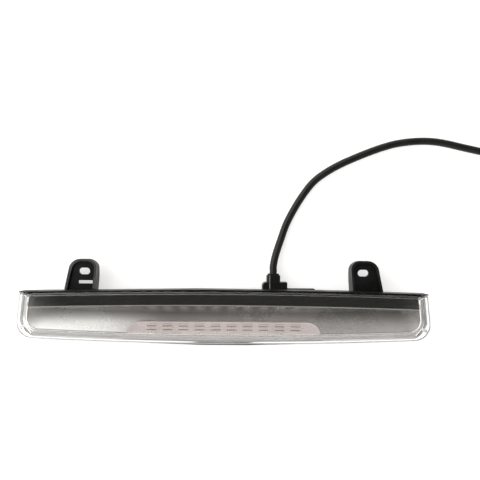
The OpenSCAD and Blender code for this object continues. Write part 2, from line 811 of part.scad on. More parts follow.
module coil_tie() {
    t = 1;
    w = 5;
    clear = 0.1;
    r = [coil_r - coil_hw - clear, coil_r + coil_hw + clear];
    color([0.15, 0.15, 0.15]) translate([coil_centre.x, coil_centre.y, 0]) rotate([0, 0, 250]) difference() {
        box([r[0] - t, r[1] + t], [-w / 2, w / 2], [0, 2 * cable_d + t]);
        box(r, [-w, w], [-cut, 2 * cable_d]);
    }
}

module cable_tail() { color([0.07, 0.07, 0.07]) tube(spline(tail_route, 2), cable_r, 12); }

module lie_down(y0, y1) {
    translate([tail_x, y1, floor_z]) rotate([90, 0, 0]) linear_extrude(y1 - y0) children();
}

module end_sleeve() {
    color([0.02, 0.02, 0.02]) lie_down(sleeve_y, tail_end.y) circle(r = cable_r - 0.1, $fn = 40);
}

module end_cores() {
    for (side = [-1, 1])
        color(side < 0 ? "firebrick" : "black") tube(spline([
            [tail_x + side * 1.6, sleeve_y, floor_z], [tail_x + side * 1.6, sleeve_y - 1, floor_z],
            [tail_x + side * 1.6, sleeve_y - 2, floor_z], [tail_x + side * 3.4, sleeve_y - core_l / 2, 2.6],
            [tail_x + side * 3.4, connector_y + 4, 4.2], [tail_x + side * 3.4, connector_y + 2, 4.2],
            [tail_x + side * 3.4, connector_y, 4.2]
        ], 3), core_d / 2, 8);
}

module connector_housing() {
    wall = 1.2;
    color([0.94, 0.93, 0.9]) difference() {
        union() {
            box([tail_x - connector_hw, tail_x + connector_hw], [connector_y - connector_l, connector_y],
                [0, connector_h]);
            // Latch on top, with its thumb pad.
            box([tail_x - 2.5, tail_x + 2.5], [connector_y - 15, connector_y - 3], [connector_h, connector_h + 1.2]);
            box([tail_x - 2.5, tail_x + 2.5], [connector_y - 6, connector_y - 3], [connector_h, connector_h + 2.2]);
        }
        for (side = [-1, 1]) {
            box([tail_x + side * 3.4 - 1.9, tail_x + side * 3.4 + 1.9],
                [connector_y - connector_l - cut, connector_y - 8], [wall + 1.2, connector_h - wall - 1]);
        }
    }
}

module connector_terminals() {
    color([0.8, 0.65, 0.3]) for (side = [-1, 1])
        box([tail_x + side * 3.4 - 1.4, tail_x + side * 3.4 + 1.4], [connector_y - connector_l + 2, connector_y - 8],
            [3.6, 5]);
}

lens_cover();
lens_seal();
rear_housing();
left_mounting_tab();
right_mounting_tab();
upper_bezel();
reflector();
inner_optic();
circuit_board();
led_bodies();
led_domes();
resistors();
protection_diode();
driver_chip();
smoothing_capacitor();
board_header();
board_screws();
reflector_screws();
red_lead();
black_lead();
cable_inner_end();
cable_clamp();
clamp_screw();
cable_boot();
breather_vent();
cable();
cable_coil();
coil_tie();
cable_tail();
end_sleeve();
end_cores();
connector_housing();
connector_terminals();
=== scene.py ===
"""Looks of the high-level brake lamp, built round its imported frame.

The lamp lies on its back: +X runs along it, +Y towards its mounting tabs and +Z out of the lens. Every mesh is in
metres in the frame's own coordinates. Sizes in the classes are in millimetres and are turned to metres on the way in.
"""

import logging
import math
from dataclasses import dataclass, field
from enum import Enum

import bmesh
import bpy
import numpy as np
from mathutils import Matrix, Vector


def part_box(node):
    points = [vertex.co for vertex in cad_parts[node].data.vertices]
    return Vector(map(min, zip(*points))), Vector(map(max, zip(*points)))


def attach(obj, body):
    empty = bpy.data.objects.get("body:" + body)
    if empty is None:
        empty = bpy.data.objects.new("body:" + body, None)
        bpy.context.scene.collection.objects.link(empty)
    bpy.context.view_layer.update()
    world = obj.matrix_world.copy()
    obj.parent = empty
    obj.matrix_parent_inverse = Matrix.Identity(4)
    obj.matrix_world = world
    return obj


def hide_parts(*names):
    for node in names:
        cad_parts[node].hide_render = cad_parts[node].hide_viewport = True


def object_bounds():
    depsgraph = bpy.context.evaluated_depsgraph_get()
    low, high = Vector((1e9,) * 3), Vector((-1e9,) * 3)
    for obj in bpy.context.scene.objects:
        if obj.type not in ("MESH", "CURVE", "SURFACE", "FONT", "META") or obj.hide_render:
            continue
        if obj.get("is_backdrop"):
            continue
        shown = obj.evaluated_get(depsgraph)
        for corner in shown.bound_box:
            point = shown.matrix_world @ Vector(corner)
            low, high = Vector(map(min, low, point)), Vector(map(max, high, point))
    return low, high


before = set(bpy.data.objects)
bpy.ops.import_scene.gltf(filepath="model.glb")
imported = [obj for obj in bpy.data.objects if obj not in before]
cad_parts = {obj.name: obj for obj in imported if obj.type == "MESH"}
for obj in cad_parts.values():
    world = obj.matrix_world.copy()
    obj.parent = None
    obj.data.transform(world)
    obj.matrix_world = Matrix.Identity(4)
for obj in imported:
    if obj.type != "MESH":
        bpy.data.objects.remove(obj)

log = logging.getLogger("brake_lamp")
MM = 0.001
ROW_Y = 9.35245  # what takes a height counted from the lens's top corners to the frame's own Y
Colour = tuple[float, float, float]


class Body(Enum):
    """The one body that every piece rides on."""

    LAMP = "root"


class Axis(Enum):
    """Directions that a profile may be carried along."""

    X = 0
    Y = 1
    Z = 2


# ---- Mesh makers ---------------------------------------------------------------------------------------------------


def signed_volume(points: np.ndarray, quads: np.ndarray) -> float:
    """Volume that a closed set of quads holds, negative when they face inwards.

    Each quad a b c d counts as the two triangles a b c and a c d, and each gives a sixth of its triple product.

    Args:
        points: Vertices, one row each.
        quads: Indices, four to a row.

    Returns:
        The signed volume in the cube of the points' unit.
    """
    a, b, c, d = (points[quads[:, i]] for i in range(4))
    first = np.einsum("ij,ij->i", a, np.cross(b, c))
    return float((first + np.einsum("ij,ij->i", a, np.cross(c, d))).sum() / 6)


def build(
    name: str,
    points: np.ndarray,
    quads: np.ndarray,
    caps: list[np.ndarray] | None = None,
    uv: np.ndarray | None = None,
    sharp: float = 40.0,
    closed: bool = True,
) -> bpy.types.Object:
    """Turns arrays into a shaded mesh object whose faces point outwards.

    Args:
        name: Name of the piece.
        points: Vertices in millimetres, in the frame's coordinates.
        quads: Faces of four corners.
        caps: Flat end faces, each a row of indices that runs the same way round as the quads.
        uv: One pair for each corner of the quads, in their order.
        sharp: Angle in degrees past which an edge stays sharp.
        closed: Whether the surface holds a volume, by which its faces are turned.

    Returns:
        The object, riding on the lamp's body.
    """
    caps = caps or []
    if closed:
        fans = [np.stack([np.full(len(c) - 2, c[0]), c[1:-1], c[2:], c[2:]], 1) for c in caps]
        if signed_volume(points - points.mean(0), np.vstack([quads, *fans])) < 0:
            quads = quads[:, ::-1]
            caps = [c[::-1] for c in caps]
            uv = None if uv is None else uv.reshape(-1, 4, 2)[:, ::-1].reshape(-1, 2)
    mesh = bpy.data.meshes.new(name)
    mesh.from_pydata((points * MM).tolist(), [], quads.tolist() + [c.tolist() for c in caps])
    if uv is not None:
        layer = mesh.uv_layers.new(name="Surface")
        filled = np.zeros((len(mesh.loops), 2), np.float32)
        filled[: len(uv)] = uv
        layer.data.foreach_set("uv", filled.ravel())
    mesh.polygons.foreach_set("use_smooth", np.ones(len(mesh.polygons), bool))
    mesh.set_sharp_from_angle(angle=math.radians(sharp))
    mesh.validate()
    piece = bpy.data.objects.new(name, mesh)
    bpy.context.scene.collection.objects.link(piece)
    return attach(piece, Body.LAMP.value)


def grid_quads(rows: int, columns: int, wrap: bool = False, wrap_rows: bool = False) -> np.ndarray:
    """Quads between neighbours of a grid whose vertices run row by row.

    Args:
        rows: Number of rows of vertices.
        columns: Vertices in a row.
        wrap: Whether the last column joins the first.
        wrap_rows: Whether the last row joins the first.

    Returns:
        Indices, four to a row.
    """
    r = np.arange(rows if wrap_rows else rows - 1)[:, None]
    c = np.arange(columns if wrap else columns - 1)[None, :]
    below, right = (r + 1) % rows, (c + 1) % columns
    return np.stack(
        [r * columns + c, r * columns + right, below * columns + right, below * columns + c], -1
    ).reshape(-1, 4)


def grid_uv(rows: int, columns: int, wrap: bool, u_span: float, v_span: float) -> np.ndarray:
    """Pairs for the corners of grid_quads: u runs along a row and v from row to row.

    Args:
        rows: Number of rows of vertices.
        columns: Vertices in a row.
        wrap: Whether the last column joins the first.
        u_span: What u reaches at the end of a row.
        v_span: What v reaches at the last row.

    Returns:
        One pair for each corner.
    """
    r = np.arange(rows - 1)[:, None]
    c = np.arange(columns if wrap else columns - 1)[None, :]
    du, dv = u_span / max(c.size, 1), v_span / max(rows - 1, 1)
    u = np.stack(np.broadcast_arrays(c, c + 1, c + 1, c), -1) * du
    v = np.stack(np.broadcast_arrays(r, r, r + 1, r + 1), -1) * dv
    return np.stack(np.broadcast_arrays(u, v), -1).reshape(-1, 2)


def loft(name: str, rings: np.ndarray, sharp: float = 40.0, solid: bool = True) -> bpy.types.Object:
    """Skin over a stack of closed rings.

    Vertex (i, j) is point j of ring i, and the skin joins each ring to the next.

    Args:
        name: Name of the piece.
        rings: Array of rings, points and coordinates, in millimetres.
        sharp: Angle past which an edge stays sharp.
        solid: True closes both ends with flat faces, and False joins the last ring to the first.

    Returns:
        The object.
    """
    count, around = rings.shape[:2]
    points = rings.reshape(-1, 3)
    quads = grid_quads(count, around, wrap=True, wrap_rows=not solid)
    first, last = np.arange(around), (count - 1) * around + np.arange(around)
    caps = [first[::-1], last] if solid else []
    return build(name, points, quads, caps, sharp=sharp)


def tube(name: str, path: np.ndarray, radius: np.ndarray | float, sides: int = 16) -> bpy.types.Object:
    """Round tube along a path that never stands upright.

    Point (i, k) is path i plus radius times the cosine of k's turn sideways plus its sine upwards, where sideways is
    the path's heading crossed with +Z.

    Args:
        name: Name of the piece.
        path: Points in millimetres.
        radius: One radius, or one for each point.
        sides: Number of sides.

    Returns:
        The object, with u round the tube and v along it in centimetres.
    """
    heading = np.gradient(path, axis=0)
    heading /= np.linalg.norm(heading, axis=1, keepdims=True)
    side = np.cross(heading, [0.0, 0.0, 1.0])
    side /= np.linalg.norm(side, axis=1, keepdims=True)
    up = np.cross(side, heading)
    turn = 2 * np.pi * np.arange(sides) / sides
    reach = np.broadcast_to(np.asarray(radius, float), (len(path),))[:, None, None]
    rings = path[:, None] + reach * (np.cos(turn)[:, None] * side[:, None] + np.sin(turn)[:, None] * up[:, None])
    count = len(path)
    length = np.linalg.norm(np.diff(path, axis=0), axis=1).sum()
    first, last = np.arange(sides), (count - 1) * sides + np.arange(sides)
    return build(
        name,
        rings.reshape(-1, 3),
        grid_quads(count, sides, wrap=True),
        [first[::-1], last],
        grid_uv(count, sides, True, 1.0, length / 10),
        sharp=60,
    )


def spun(name: str, profile: np.ndarray, centre: Colour, axis: Axis = Axis.Z, steps: int = 40,
         sharp: float = 40.0) -> bpy.types.Object:
    """Surface of revolution.

    Point (i, k) stands at the profile's radius i, turned by k steps, and at the profile's height i on the axis.

    Args:
        name: Name of the piece.
        profile: Pairs of radius and height, both ends at a radius above nothing.
        centre: Where the axis passes, in millimetres.
        axis: Direction of the axis.
        steps: Steps in a turn.
        sharp: Angle past which an edge stays sharp.

    Returns:
        The object.
    """
    turn = 2 * np.pi * np.arange(steps) / steps
    flat = np.stack([
        profile[:, None, 0] * np.cos(turn), profile[:, None, 0] * np.sin(turn),
        np.broadcast_to(profile[:, None, 1], (len(profile), steps)),
    ], -1)
    rings = np.roll(flat, (axis.value + 1) % 3, axis=2) + np.array(centre)
    return loft(name, rings, sharp)


def spline(points: np.ndarray, steps: int) -> np.ndarray:
    """Catmull-Rom curve: between two points it is the cubic whose ends have half the slope from neighbour to neighbour.

    Args:
        points: Points that the curve passes through.
        steps: Steps between neighbours.

    Returns:
        The curve's points.
    """
    ends = np.vstack([2 * points[0] - points[1], points, 2 * points[-1] - points[-2]])
    a, b, c, d = ends[:-3, None], ends[1:-2, None], ends[2:-1, None], ends[3:, None]
    t = (np.arange(steps) / steps)[None, :, None]
    curve = 0.5 * (2 * b + t * (c - a) + t**2 * (2 * a - 5 * b + 4 * c - d) + t**3 * (3 * b - a - 3 * c + d))
    return np.vstack([curve.reshape(-1, points.shape[1]), points[-1:]])


def softened(node: str, name: str, radius: float) -> bpy.types.Object:
    """Copy of a frame node with its doubles merged and its edges rounded, which stands for the node.

    Args:
        node: The frame's node.
        name: Name of the new piece.
        radius: Radius of the rounding in millimetres.

    Returns:
        The new piece.
    """
    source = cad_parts[node]
    mesh = source.data.copy()
    mesh.name = name
    piece = bpy.data.objects.new(name, mesh)
    bpy.context.scene.collection.objects.link(piece)
    work = bmesh.new()
    work.from_mesh(mesh)
    bmesh.ops.remove_doubles(work, verts=work.verts, dist=2e-6)
    bmesh.ops.dissolve_limit(work, angle_limit=math.radians(1.0), verts=work.verts, edges=work.edges)
    work.to_mesh(mesh)
    work.free()
    for layer in list(mesh.attributes):
        if layer.name in {"custom_normal", "sharp_face"}:
            mesh.attributes.remove(layer)
    mesh.materials.clear()
    mesh.polygons.foreach_set("use_smooth", np.ones(len(mesh.polygons), bool))
    mesh.set_sharp_from_angle(angle=math.radians(30))
    rounding = piece.modifiers.new("Rounded edges", "BEVEL")
    rounding.width, rounding.segments = radius * MM, 2
    rounding.limit_method, rounding.angle_limit = "ANGLE", math.radians(35.0)
    rounding.harden_normals = True
    rounding.use_clamp_overlap = True
    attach(piece, Body.LAMP.value)
    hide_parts(node)
    return piece


# ---- Finishes ------------------------------------------------------------------------------------------------------


class Graph:
    """A material's or a group's nodes, made and joined by short calls."""

    def __init__(self, tree: bpy.types.NodeTree) -> None:
        """Starts on a node tree."""
        self.tree = tree

    def add(self, kind: str, **values: object) -> bpy.types.Node:
        """Makes a node and sets its properties.

        Args:
            kind: The node's type name, without its ShaderNode prefix.
            values: Properties of the node.

        Returns:
            The node.
        """
        node = self.tree.nodes.new("ShaderNode" + kind)
        for key, value in values.items():
            setattr(node, key, value)
        return node

    def join(self, source: object, target: bpy.types.NodeSocket) -> None:
        """Links an output to an input, or sets the input where the source is a plain value."""
        if isinstance(source, bpy.types.NodeSocket):
            self.tree.links.new(source, target)
        else:
            target.default_value = source

    def math(self, operation: str, a: object, b: object = 0.0, c: object = 0.0) -> bpy.types.NodeSocket:
        """Output of a Math node fed with up to three values."""
        node = self.add("Math", operation=operation)
        for source, socket in zip((a, b, c), node.inputs):
            self.join(source, socket)
        return node.outputs[0]

    def ramp(self, value: object, low: float, high: float, start: float = 0.0, end: float = 1.0) -> bpy.types.NodeSocket:
        """Smooth step of a value between low and high, from start to end."""
        node = self.add("MapRange", interpolation_type="SMOOTHSTEP")
        for source, socket in zip((value, low, high, start, end), node.inputs):
            self.join(source, socket)
        return node.outputs[0]

    def blend(self, share: object, a: object, b: object) -> bpy.types.NodeSocket:
        """Colour between a and b by share. A colour may be given as three numbers."""
        node = self.add("Mix", data_type="RGBA")
        for source, at in ((share, 0), (a, 6), (b, 7)):
            self.join((*source, 1.0) if isinstance(source, tuple) else source, node.inputs[at])
        return node.outputs[2]

    def noise(self, where: object, scale: object, detail: float = 3.0) -> bpy.types.NodeSocket:
        """Value of a noise texture at a place."""
        node = self.add("TexNoise")
        for source, key in ((where, "Vector"), (scale, "Scale"), (detail, "Detail")):
            self.join(source, node.inputs[key])
        return node.outputs[0]

    def millimetres(self, place: bpy.types.NodeSocket) -> list[bpy.types.NodeSocket]:
        """The three coordinates of a place, in millimetres."""
        split = self.add("SeparateXYZ")
        self.join(place, split.inputs[0])
        return [self.math("MULTIPLY", coordinate, 1000.0) for coordinate in split.outputs]

    def arched(self, x: bpy.types.NodeSocket, y: bpy.types.NodeSocket) -> bpy.types.NodeSocket:
        """Height y with the lamp's arch taken out: y plus x squared over twice the arch's radius."""
        return self.math("ADD", y, self.math("MULTIPLY", self.math("MULTIPLY", x, x), 1 / 12080.0))

    def group(self, key: str, place: bpy.types.NodeSocket, **numbers: float) -> bpy.types.Node:
        """Places one of the shared effects and sets its numbers."""
        node = self.add("Group")
        node.node_tree = EFFECTS[key]
        self.join(place, node.inputs["Place"])
        for name, value in numbers.items():
            node.inputs[name].default_value = value
        return node


def effect(name: str, inputs: dict[str, float], outputs: dict[str, str]) -> tuple[bpy.types.NodeTree, Graph, dict, dict]:
    """Empty shader group with a Place input, named numbers in and named sockets out.

    Args:
        name: Name of the group.
        inputs: Names of the numbers and their usual values.
        outputs: Names of the outputs and their socket kinds.

    Returns:
        The group, its graph, its input sockets by name and its output sockets by name.
    """
    tree = bpy.data.node_groups.new(name, "ShaderNodeTree")
    tree.interface.new_socket("Place", in_out="INPUT", socket_type="NodeSocketVector")
    for key, value in inputs.items():
        tree.interface.new_socket(key, in_out="INPUT", socket_type="NodeSocketFloat").default_value = value
    for key, kind in outputs.items():
        tree.interface.new_socket(key, in_out="OUTPUT", socket_type=kind)
    source, sink = tree.nodes.new("NodeGroupInput"), tree.nodes.new("NodeGroupOutput")
    return tree, Graph(tree), {s.name: s for s in source.outputs}, {s.name: s for s in sink.inputs}


def grain_effect() -> bpy.types.NodeTree:
    """Moulded grain: fine noise for height, broad noise for tone and for how much the gloss wanders.

    Returns:
        The group, which puts out Height, Tone and Gloss.
    """
    tree, g, given, out = effect(
        "Moulded grain", {"Grain": 900.0, "Cloud": 35.0},
        {"Height": "NodeSocketFloat", "Tone": "NodeSocketFloat", "Gloss": "NodeSocketFloat"},
    )
    fine, broad = (g.noise(given["Place"], given[key]) for key in ("Grain", "Cloud"))
    g.join(fine, out["Height"])
    g.join(g.ramp(broad, 0.3, 0.7), out["Tone"])
    g.join(g.math("MULTIPLY_ADD", fine, 0.3, g.math("MULTIPLY", broad, 0.7)), out["Gloss"])
    return tree


def dust_effect() -> bpy.types.NodeTree:
    """Thin dust: specks where a fine noise is high, gathered in broad patches.

    Returns:
        The group, which puts out Mask.
    """
    tree, g, given, out = effect("Thin dust", {"Amount": 0.3}, {"Mask": "NodeSocketFloat"})
    specks = g.ramp(g.noise(given["Place"], 1400.0, 2.0), 0.62, 0.72)
    patches = g.ramp(g.noise(given["Place"], 28.0, 3.0), 0.42, 0.66)
    g.join(g.math("MULTIPLY", g.math("MULTIPLY", specks, patches), given["Amount"]), out["Mask"])
    return tree


def scratch_effect() -> bpy.types.NodeTree:
    """Hair scratches: thin lines where noise stretched along one way crosses its middle value.

    Returns:
        The group, which puts out Mask.
    """
    tree, g, given, out = effect("Hair scratches", {"Amount": 0.5}, {"Mask": "NodeSocketFloat"})
    lay = g.add("Mapping")
    g.join(given["Place"], lay.inputs["Vector"])
    lay.inputs["Rotation"].default_value = (0.0, 0.0, 0.5)
    lay.inputs["Scale"].default_value = (12.0, 260.0, 60.0)
    wave = g.noise(lay.outputs[0], 1.0, 2.0)
    line = g.math("ABSOLUTE", g.math("SUBTRACT", wave, 0.5))
    g.join(g.math("MULTIPLY", g.ramp(line, 0.0, 0.006, 1.0, 0.0), given["Amount"]), out["Mask"])
    return tree


EFFECTS = {"grain": grain_effect(), "dust": dust_effect(), "scratches": scratch_effect()}


@dataclass(frozen=True)
class Finish:
    """One material: its colours, gloss and the small effects on it.

    Args:
        name: Name of the material.
        colour: Main colour, linear.
        second: Colour that the broad noise blends towards.
        rough: Roughness, least and most.
        metallic: 1 for metal.
        specular: Specular level.
        grain: Size of the grain in repeats a metre.
        bump: Height of the grain in millimetres.
        coat: Clear coat's weight.
        dust: Amount of dust.
        scratches: Amount of hair scratches.
        along: Whether the pattern follows the piece's own UV map.
        subsurface: Weight of light that passes under the skin.
    """

    name: str
    colour: Colour
    second: Colour
    rough: tuple[float, float] = (0.4, 0.5)
    metallic: float = 0.0
    specular: float = 0.5
    grain: float = 900.0
    bump: float = 0.02
    coat: float = 0.0
    dust: float = 0.0
    scratches: float = 0.0
    along: bool = False
    subsurface: float = 0.0

    def tone(self, g: Graph, place: bpy.types.NodeSocket, tone: bpy.types.NodeSocket) -> bpy.types.NodeSocket:
        """Colour over the surface: the broad noise blends the two colours."""
        return g.blend(tone, self.colour, self.second)

    def shade(self, g: Graph, shader: bpy.types.Node, place: bpy.types.NodeSocket) -> None:
        """Room for a finish that sets more on its shader."""

    def make(self) -> bpy.types.Material:
        """Builds the material once and gives it back.

        Returns:
            The material.
        """
        if self.name in bpy.data.materials:
            return bpy.data.materials[self.name]
        material = bpy.data.materials.new(self.name)
        material.use_nodes = True
        material.diffuse_color = (*self.colour, 1.0)
        g = Graph(material.node_tree)
        shader = material.node_tree.nodes["Principled BSDF"]
        place = g.add("UVMap").outputs[0] if self.along else g.add("TexCoord").outputs["Object"]
        grain = g.group("grain", place, Grain=self.grain, Cloud=self.grain / 25)
        colour = self.tone(g, place, grain.outputs["Tone"])
        rough = g.ramp(grain.outputs["Gloss"], 0.3, 0.7, *self.rough)
        if self.dust:
            colour = g.blend(g.group("dust", place, Amount=self.dust).outputs["Mask"], colour, (0.45, 0.44, 0.42))
        if self.scratches:
            hair = g.group("scratches", place, Amount=self.scratches).outputs["Mask"]
            rough = g.math("ADD", rough, g.math("MULTIPLY", hair, 0.15))
        bump = g.add("Bump")
        for source, key in ((0.6, "Strength"), (self.bump * MM, "Distance"), (grain.outputs["Height"], "Height")):
            g.join(source, bump.inputs[key])
        for source, key in (
            (bump.outputs[0], "Normal"), (colour, "Base Color"), (rough, "Roughness"), (self.metallic, "Metallic"),
            (self.specular, "Specular IOR Level"), (self.coat, "Coat Weight"), (0.08, "Coat Roughness"),
            (self.subsurface, "Subsurface Weight"), (0.002, "Subsurface Scale"),
        ):
            g.join(source, shader.inputs[key])
        self.shade(g, shader, place)
        return material


@dataclass(frozen=True)
class ClearPlastic(Finish):
    """Clear moulding: light passes through it and bends by its index."""

    index: float = 1.49
    through: float = 1.0
    lets_light_in: bool = False

    def shade(self, g: Graph, shader: bpy.types.Node, place: bpy.types.NodeSocket) -> None:
        """Sets the transmission and the index; a thin cover also lets shadow and diffuse rays go straight through."""
        shader.inputs["Transmission Weight"].default_value = self.through
        shader.inputs["IOR"].default_value = self.index
        if not self.lets_light_in:
            return
        path = g.add("LightPath")
        straight = g.math("MAXIMUM", path.outputs["Is Shadow Ray"], path.outputs["Is Diffuse Ray"])
        mix = g.add("MixShader")
        g.join(straight, mix.inputs[0])
        g.join(shader.outputs[0], mix.inputs[1])
        g.join(g.add("BsdfTransparent").outputs[0], mix.inputs[2])
        g.join(mix.outputs[0], next(n for n in shader.id_data.nodes if n.type == "OUTPUT_MATERIAL").inputs["Surface"])


@dataclass(frozen=True)
class OpticPlastic(ClearPlastic):
    """Clear optic with dark dashes painted over each light source: a painted image of the sources' dark edges as seen
    through the optic.
    """

    pitch: float = 14.83
    half_row: float = 74.15

    def tone(self, g: Graph, place: bpy.types.NodeSocket, tone: bpy.types.NodeSocket) -> bpy.types.NodeSocket:
        """Blend of the two colours, with a painted image of the light sources' dark edges as three short dark ribs at
        each source.

        Across the lamp a rib spans 4.4 mm either side of a source, found by the distance to the nearest whole pitch;
        along Y each rib is a band 0.7 mm high.
        """
        base = g.blend(tone, self.colour, self.second)
        x, y, _ = g.millimetres(place)
        cell = g.math("ABSOLUTE", g.math("PINGPONG", g.math("ADD", x, self.pitch * 10), self.pitch / 2))
        near = g.ramp(cell, self.pitch / 2 - 4.9, self.pitch / 2 - 4.0)
        row = g.ramp(g.math("ABSOLUTE", x), self.half_row + 0.4, self.half_row - 0.4)
        # Painted image of the light sources' dark edges seen through the optic: three bands along Y, the highest one
        # faint.
        dark = 0.0
        for level, strength in ((-27.7, 0.3), (-29.8, 0.8), (-33.2, 0.8)):
            off = g.math("ABSOLUTE", g.math("SUBTRACT", y, level + ROW_Y))
            dark = g.math("MAXIMUM", dark, g.ramp(off, 0.75, 0.3, 0.0, strength))
        painted_dash_mask = g.math("MULTIPLY", g.math("MULTIPLY", near, row), dark)
        return g.blend(painted_dash_mask, base, (0.22, 0.19, 0.185))


@dataclass(frozen=True)
class Metallised(Finish):
    """Vapour-coated plastic with painted light and shade: painted shade towards the top of the bowl, painted light
    towards -X, painted reflections of the light sources as streaks above, and a painted highlight along its front edge.
    """

    # The upper colours are painted shade at the bowl's top, lighter towards -X as painted light; the lower colour and
    # the main colour are the bowl's lower part, brightest towards -X as painted light.
    top: Colour = (0.16, 0.152, 0.146)
    painted_lit_top_left: Colour = (0.3, 0.29, 0.275)
    low: Colour = (0.35, 0.335, 0.325)
    pitch: float = 15.2

    def tone(self, g: Graph, place: bpy.types.NodeSocket, tone: bpy.types.NodeSocket) -> bpy.types.NodeSocket:
        """Painted shade by height in the bowl and painted light towards -X, with painted reflections of the light
        sources as a cosine of their pitch near its top edge and a painted highlight on its front edge.
        """
        x, y, z = g.millimetres(place)
        arched = g.arched(x, y)
        # Painted shade: dark at the bowl's top, lighter towards its bottom.
        rise = g.ramp(arched, -16.0 + ROW_Y, -29.0 + ROW_Y)
        # Painted light: lighter towards -X, where the sky is bright.
        side = g.ramp(x, -45.0, -125.0)
        upper = g.blend(side, self.top, self.painted_lit_top_left)
        lower = g.blend(side, self.low, self.colour)
        base = g.blend(rise, upper, lower)
        # Painted reflections of the light sources: light streaks at their pitch, fading out down the bowl and past the
        # row's ends.
        wave = g.math("COSINE", g.math("MULTIPLY", g.math("ADD", x, self.pitch / 2), 2 * math.pi / self.pitch))
        painted_reflection_streak = g.math("MULTIPLY_ADD", wave, 0.5, 0.5)
        fade = g.math("MULTIPLY", g.ramp(arched, -20.0 + ROW_Y, -12.0 + ROW_Y), g.ramp(g.math("ABSOLUTE", x), 92.0, 70.0))
        with_painted_streaks = g.blend(g.math("MULTIPLY", painted_reflection_streak, fade), base, (0.34, 0.32, 0.3))
        # Painted highlight along the bowl's front edge, from 32.2 mm up to the crest.
        edge = g.ramp(z, 32.2, 32.8)
        bright = g.blend(edge, with_painted_streaks, (0.24, 0.235, 0.23))
        return g.blend(g.math("MULTIPLY", tone, 0.12), bright, self.second)


@dataclass(frozen=True)
class RimHighlightPlastic(Finish):
    """Black moulding whose front rim is lighter by a painted highlight."""

    # Colour of the painted highlight on the front rim.
    rim: Colour = (0.05, 0.05, 0.05)
    rim_z: float = 20.0

    def tone(self, g: Graph, place: bpy.types.NodeSocket, tone: bpy.types.NodeSocket) -> bpy.types.NodeSocket:
        """Main colours, and the rim's painted highlight in the last millimetre of height, broken up by the broad noise.
        """
        z = g.millimetres(place)[2]
        base = g.blend(tone, self.colour, self.second)
        edge = g.math("MULTIPLY", g.ramp(z, self.rim_z - 0.9, self.rim_z - 0.3), g.math("MULTIPLY_ADD", tone, 0.5, 0.5))
        return g.blend(edge, base, self.rim)


@dataclass(frozen=True)
class BezelBlack(Finish):
    """Black of the bezel: its lower band is lighter than its upper one by a painted reflection in the lens."""

    # Colour of the lower band, lightened as a painted reflection.
    lower: Colour = (0.016, 0.016, 0.015)

    def tone(self, g: Graph, place: bpy.types.NodeSocket, tone: bpy.types.NodeSocket) -> bpy.types.NodeSocket:
        """Dark above an arched line half way down the strip, lighter below it as a painted reflection."""
        x, y, _ = g.millimetres(place)
        upper = g.ramp(g.arched(x, y), ROW_Y - 0.4, ROW_Y + 0.4)
        base = g.blend(upper, self.lower, self.colour)
        return g.blend(g.math("MULTIPLY", tone, 0.3), base, self.second)


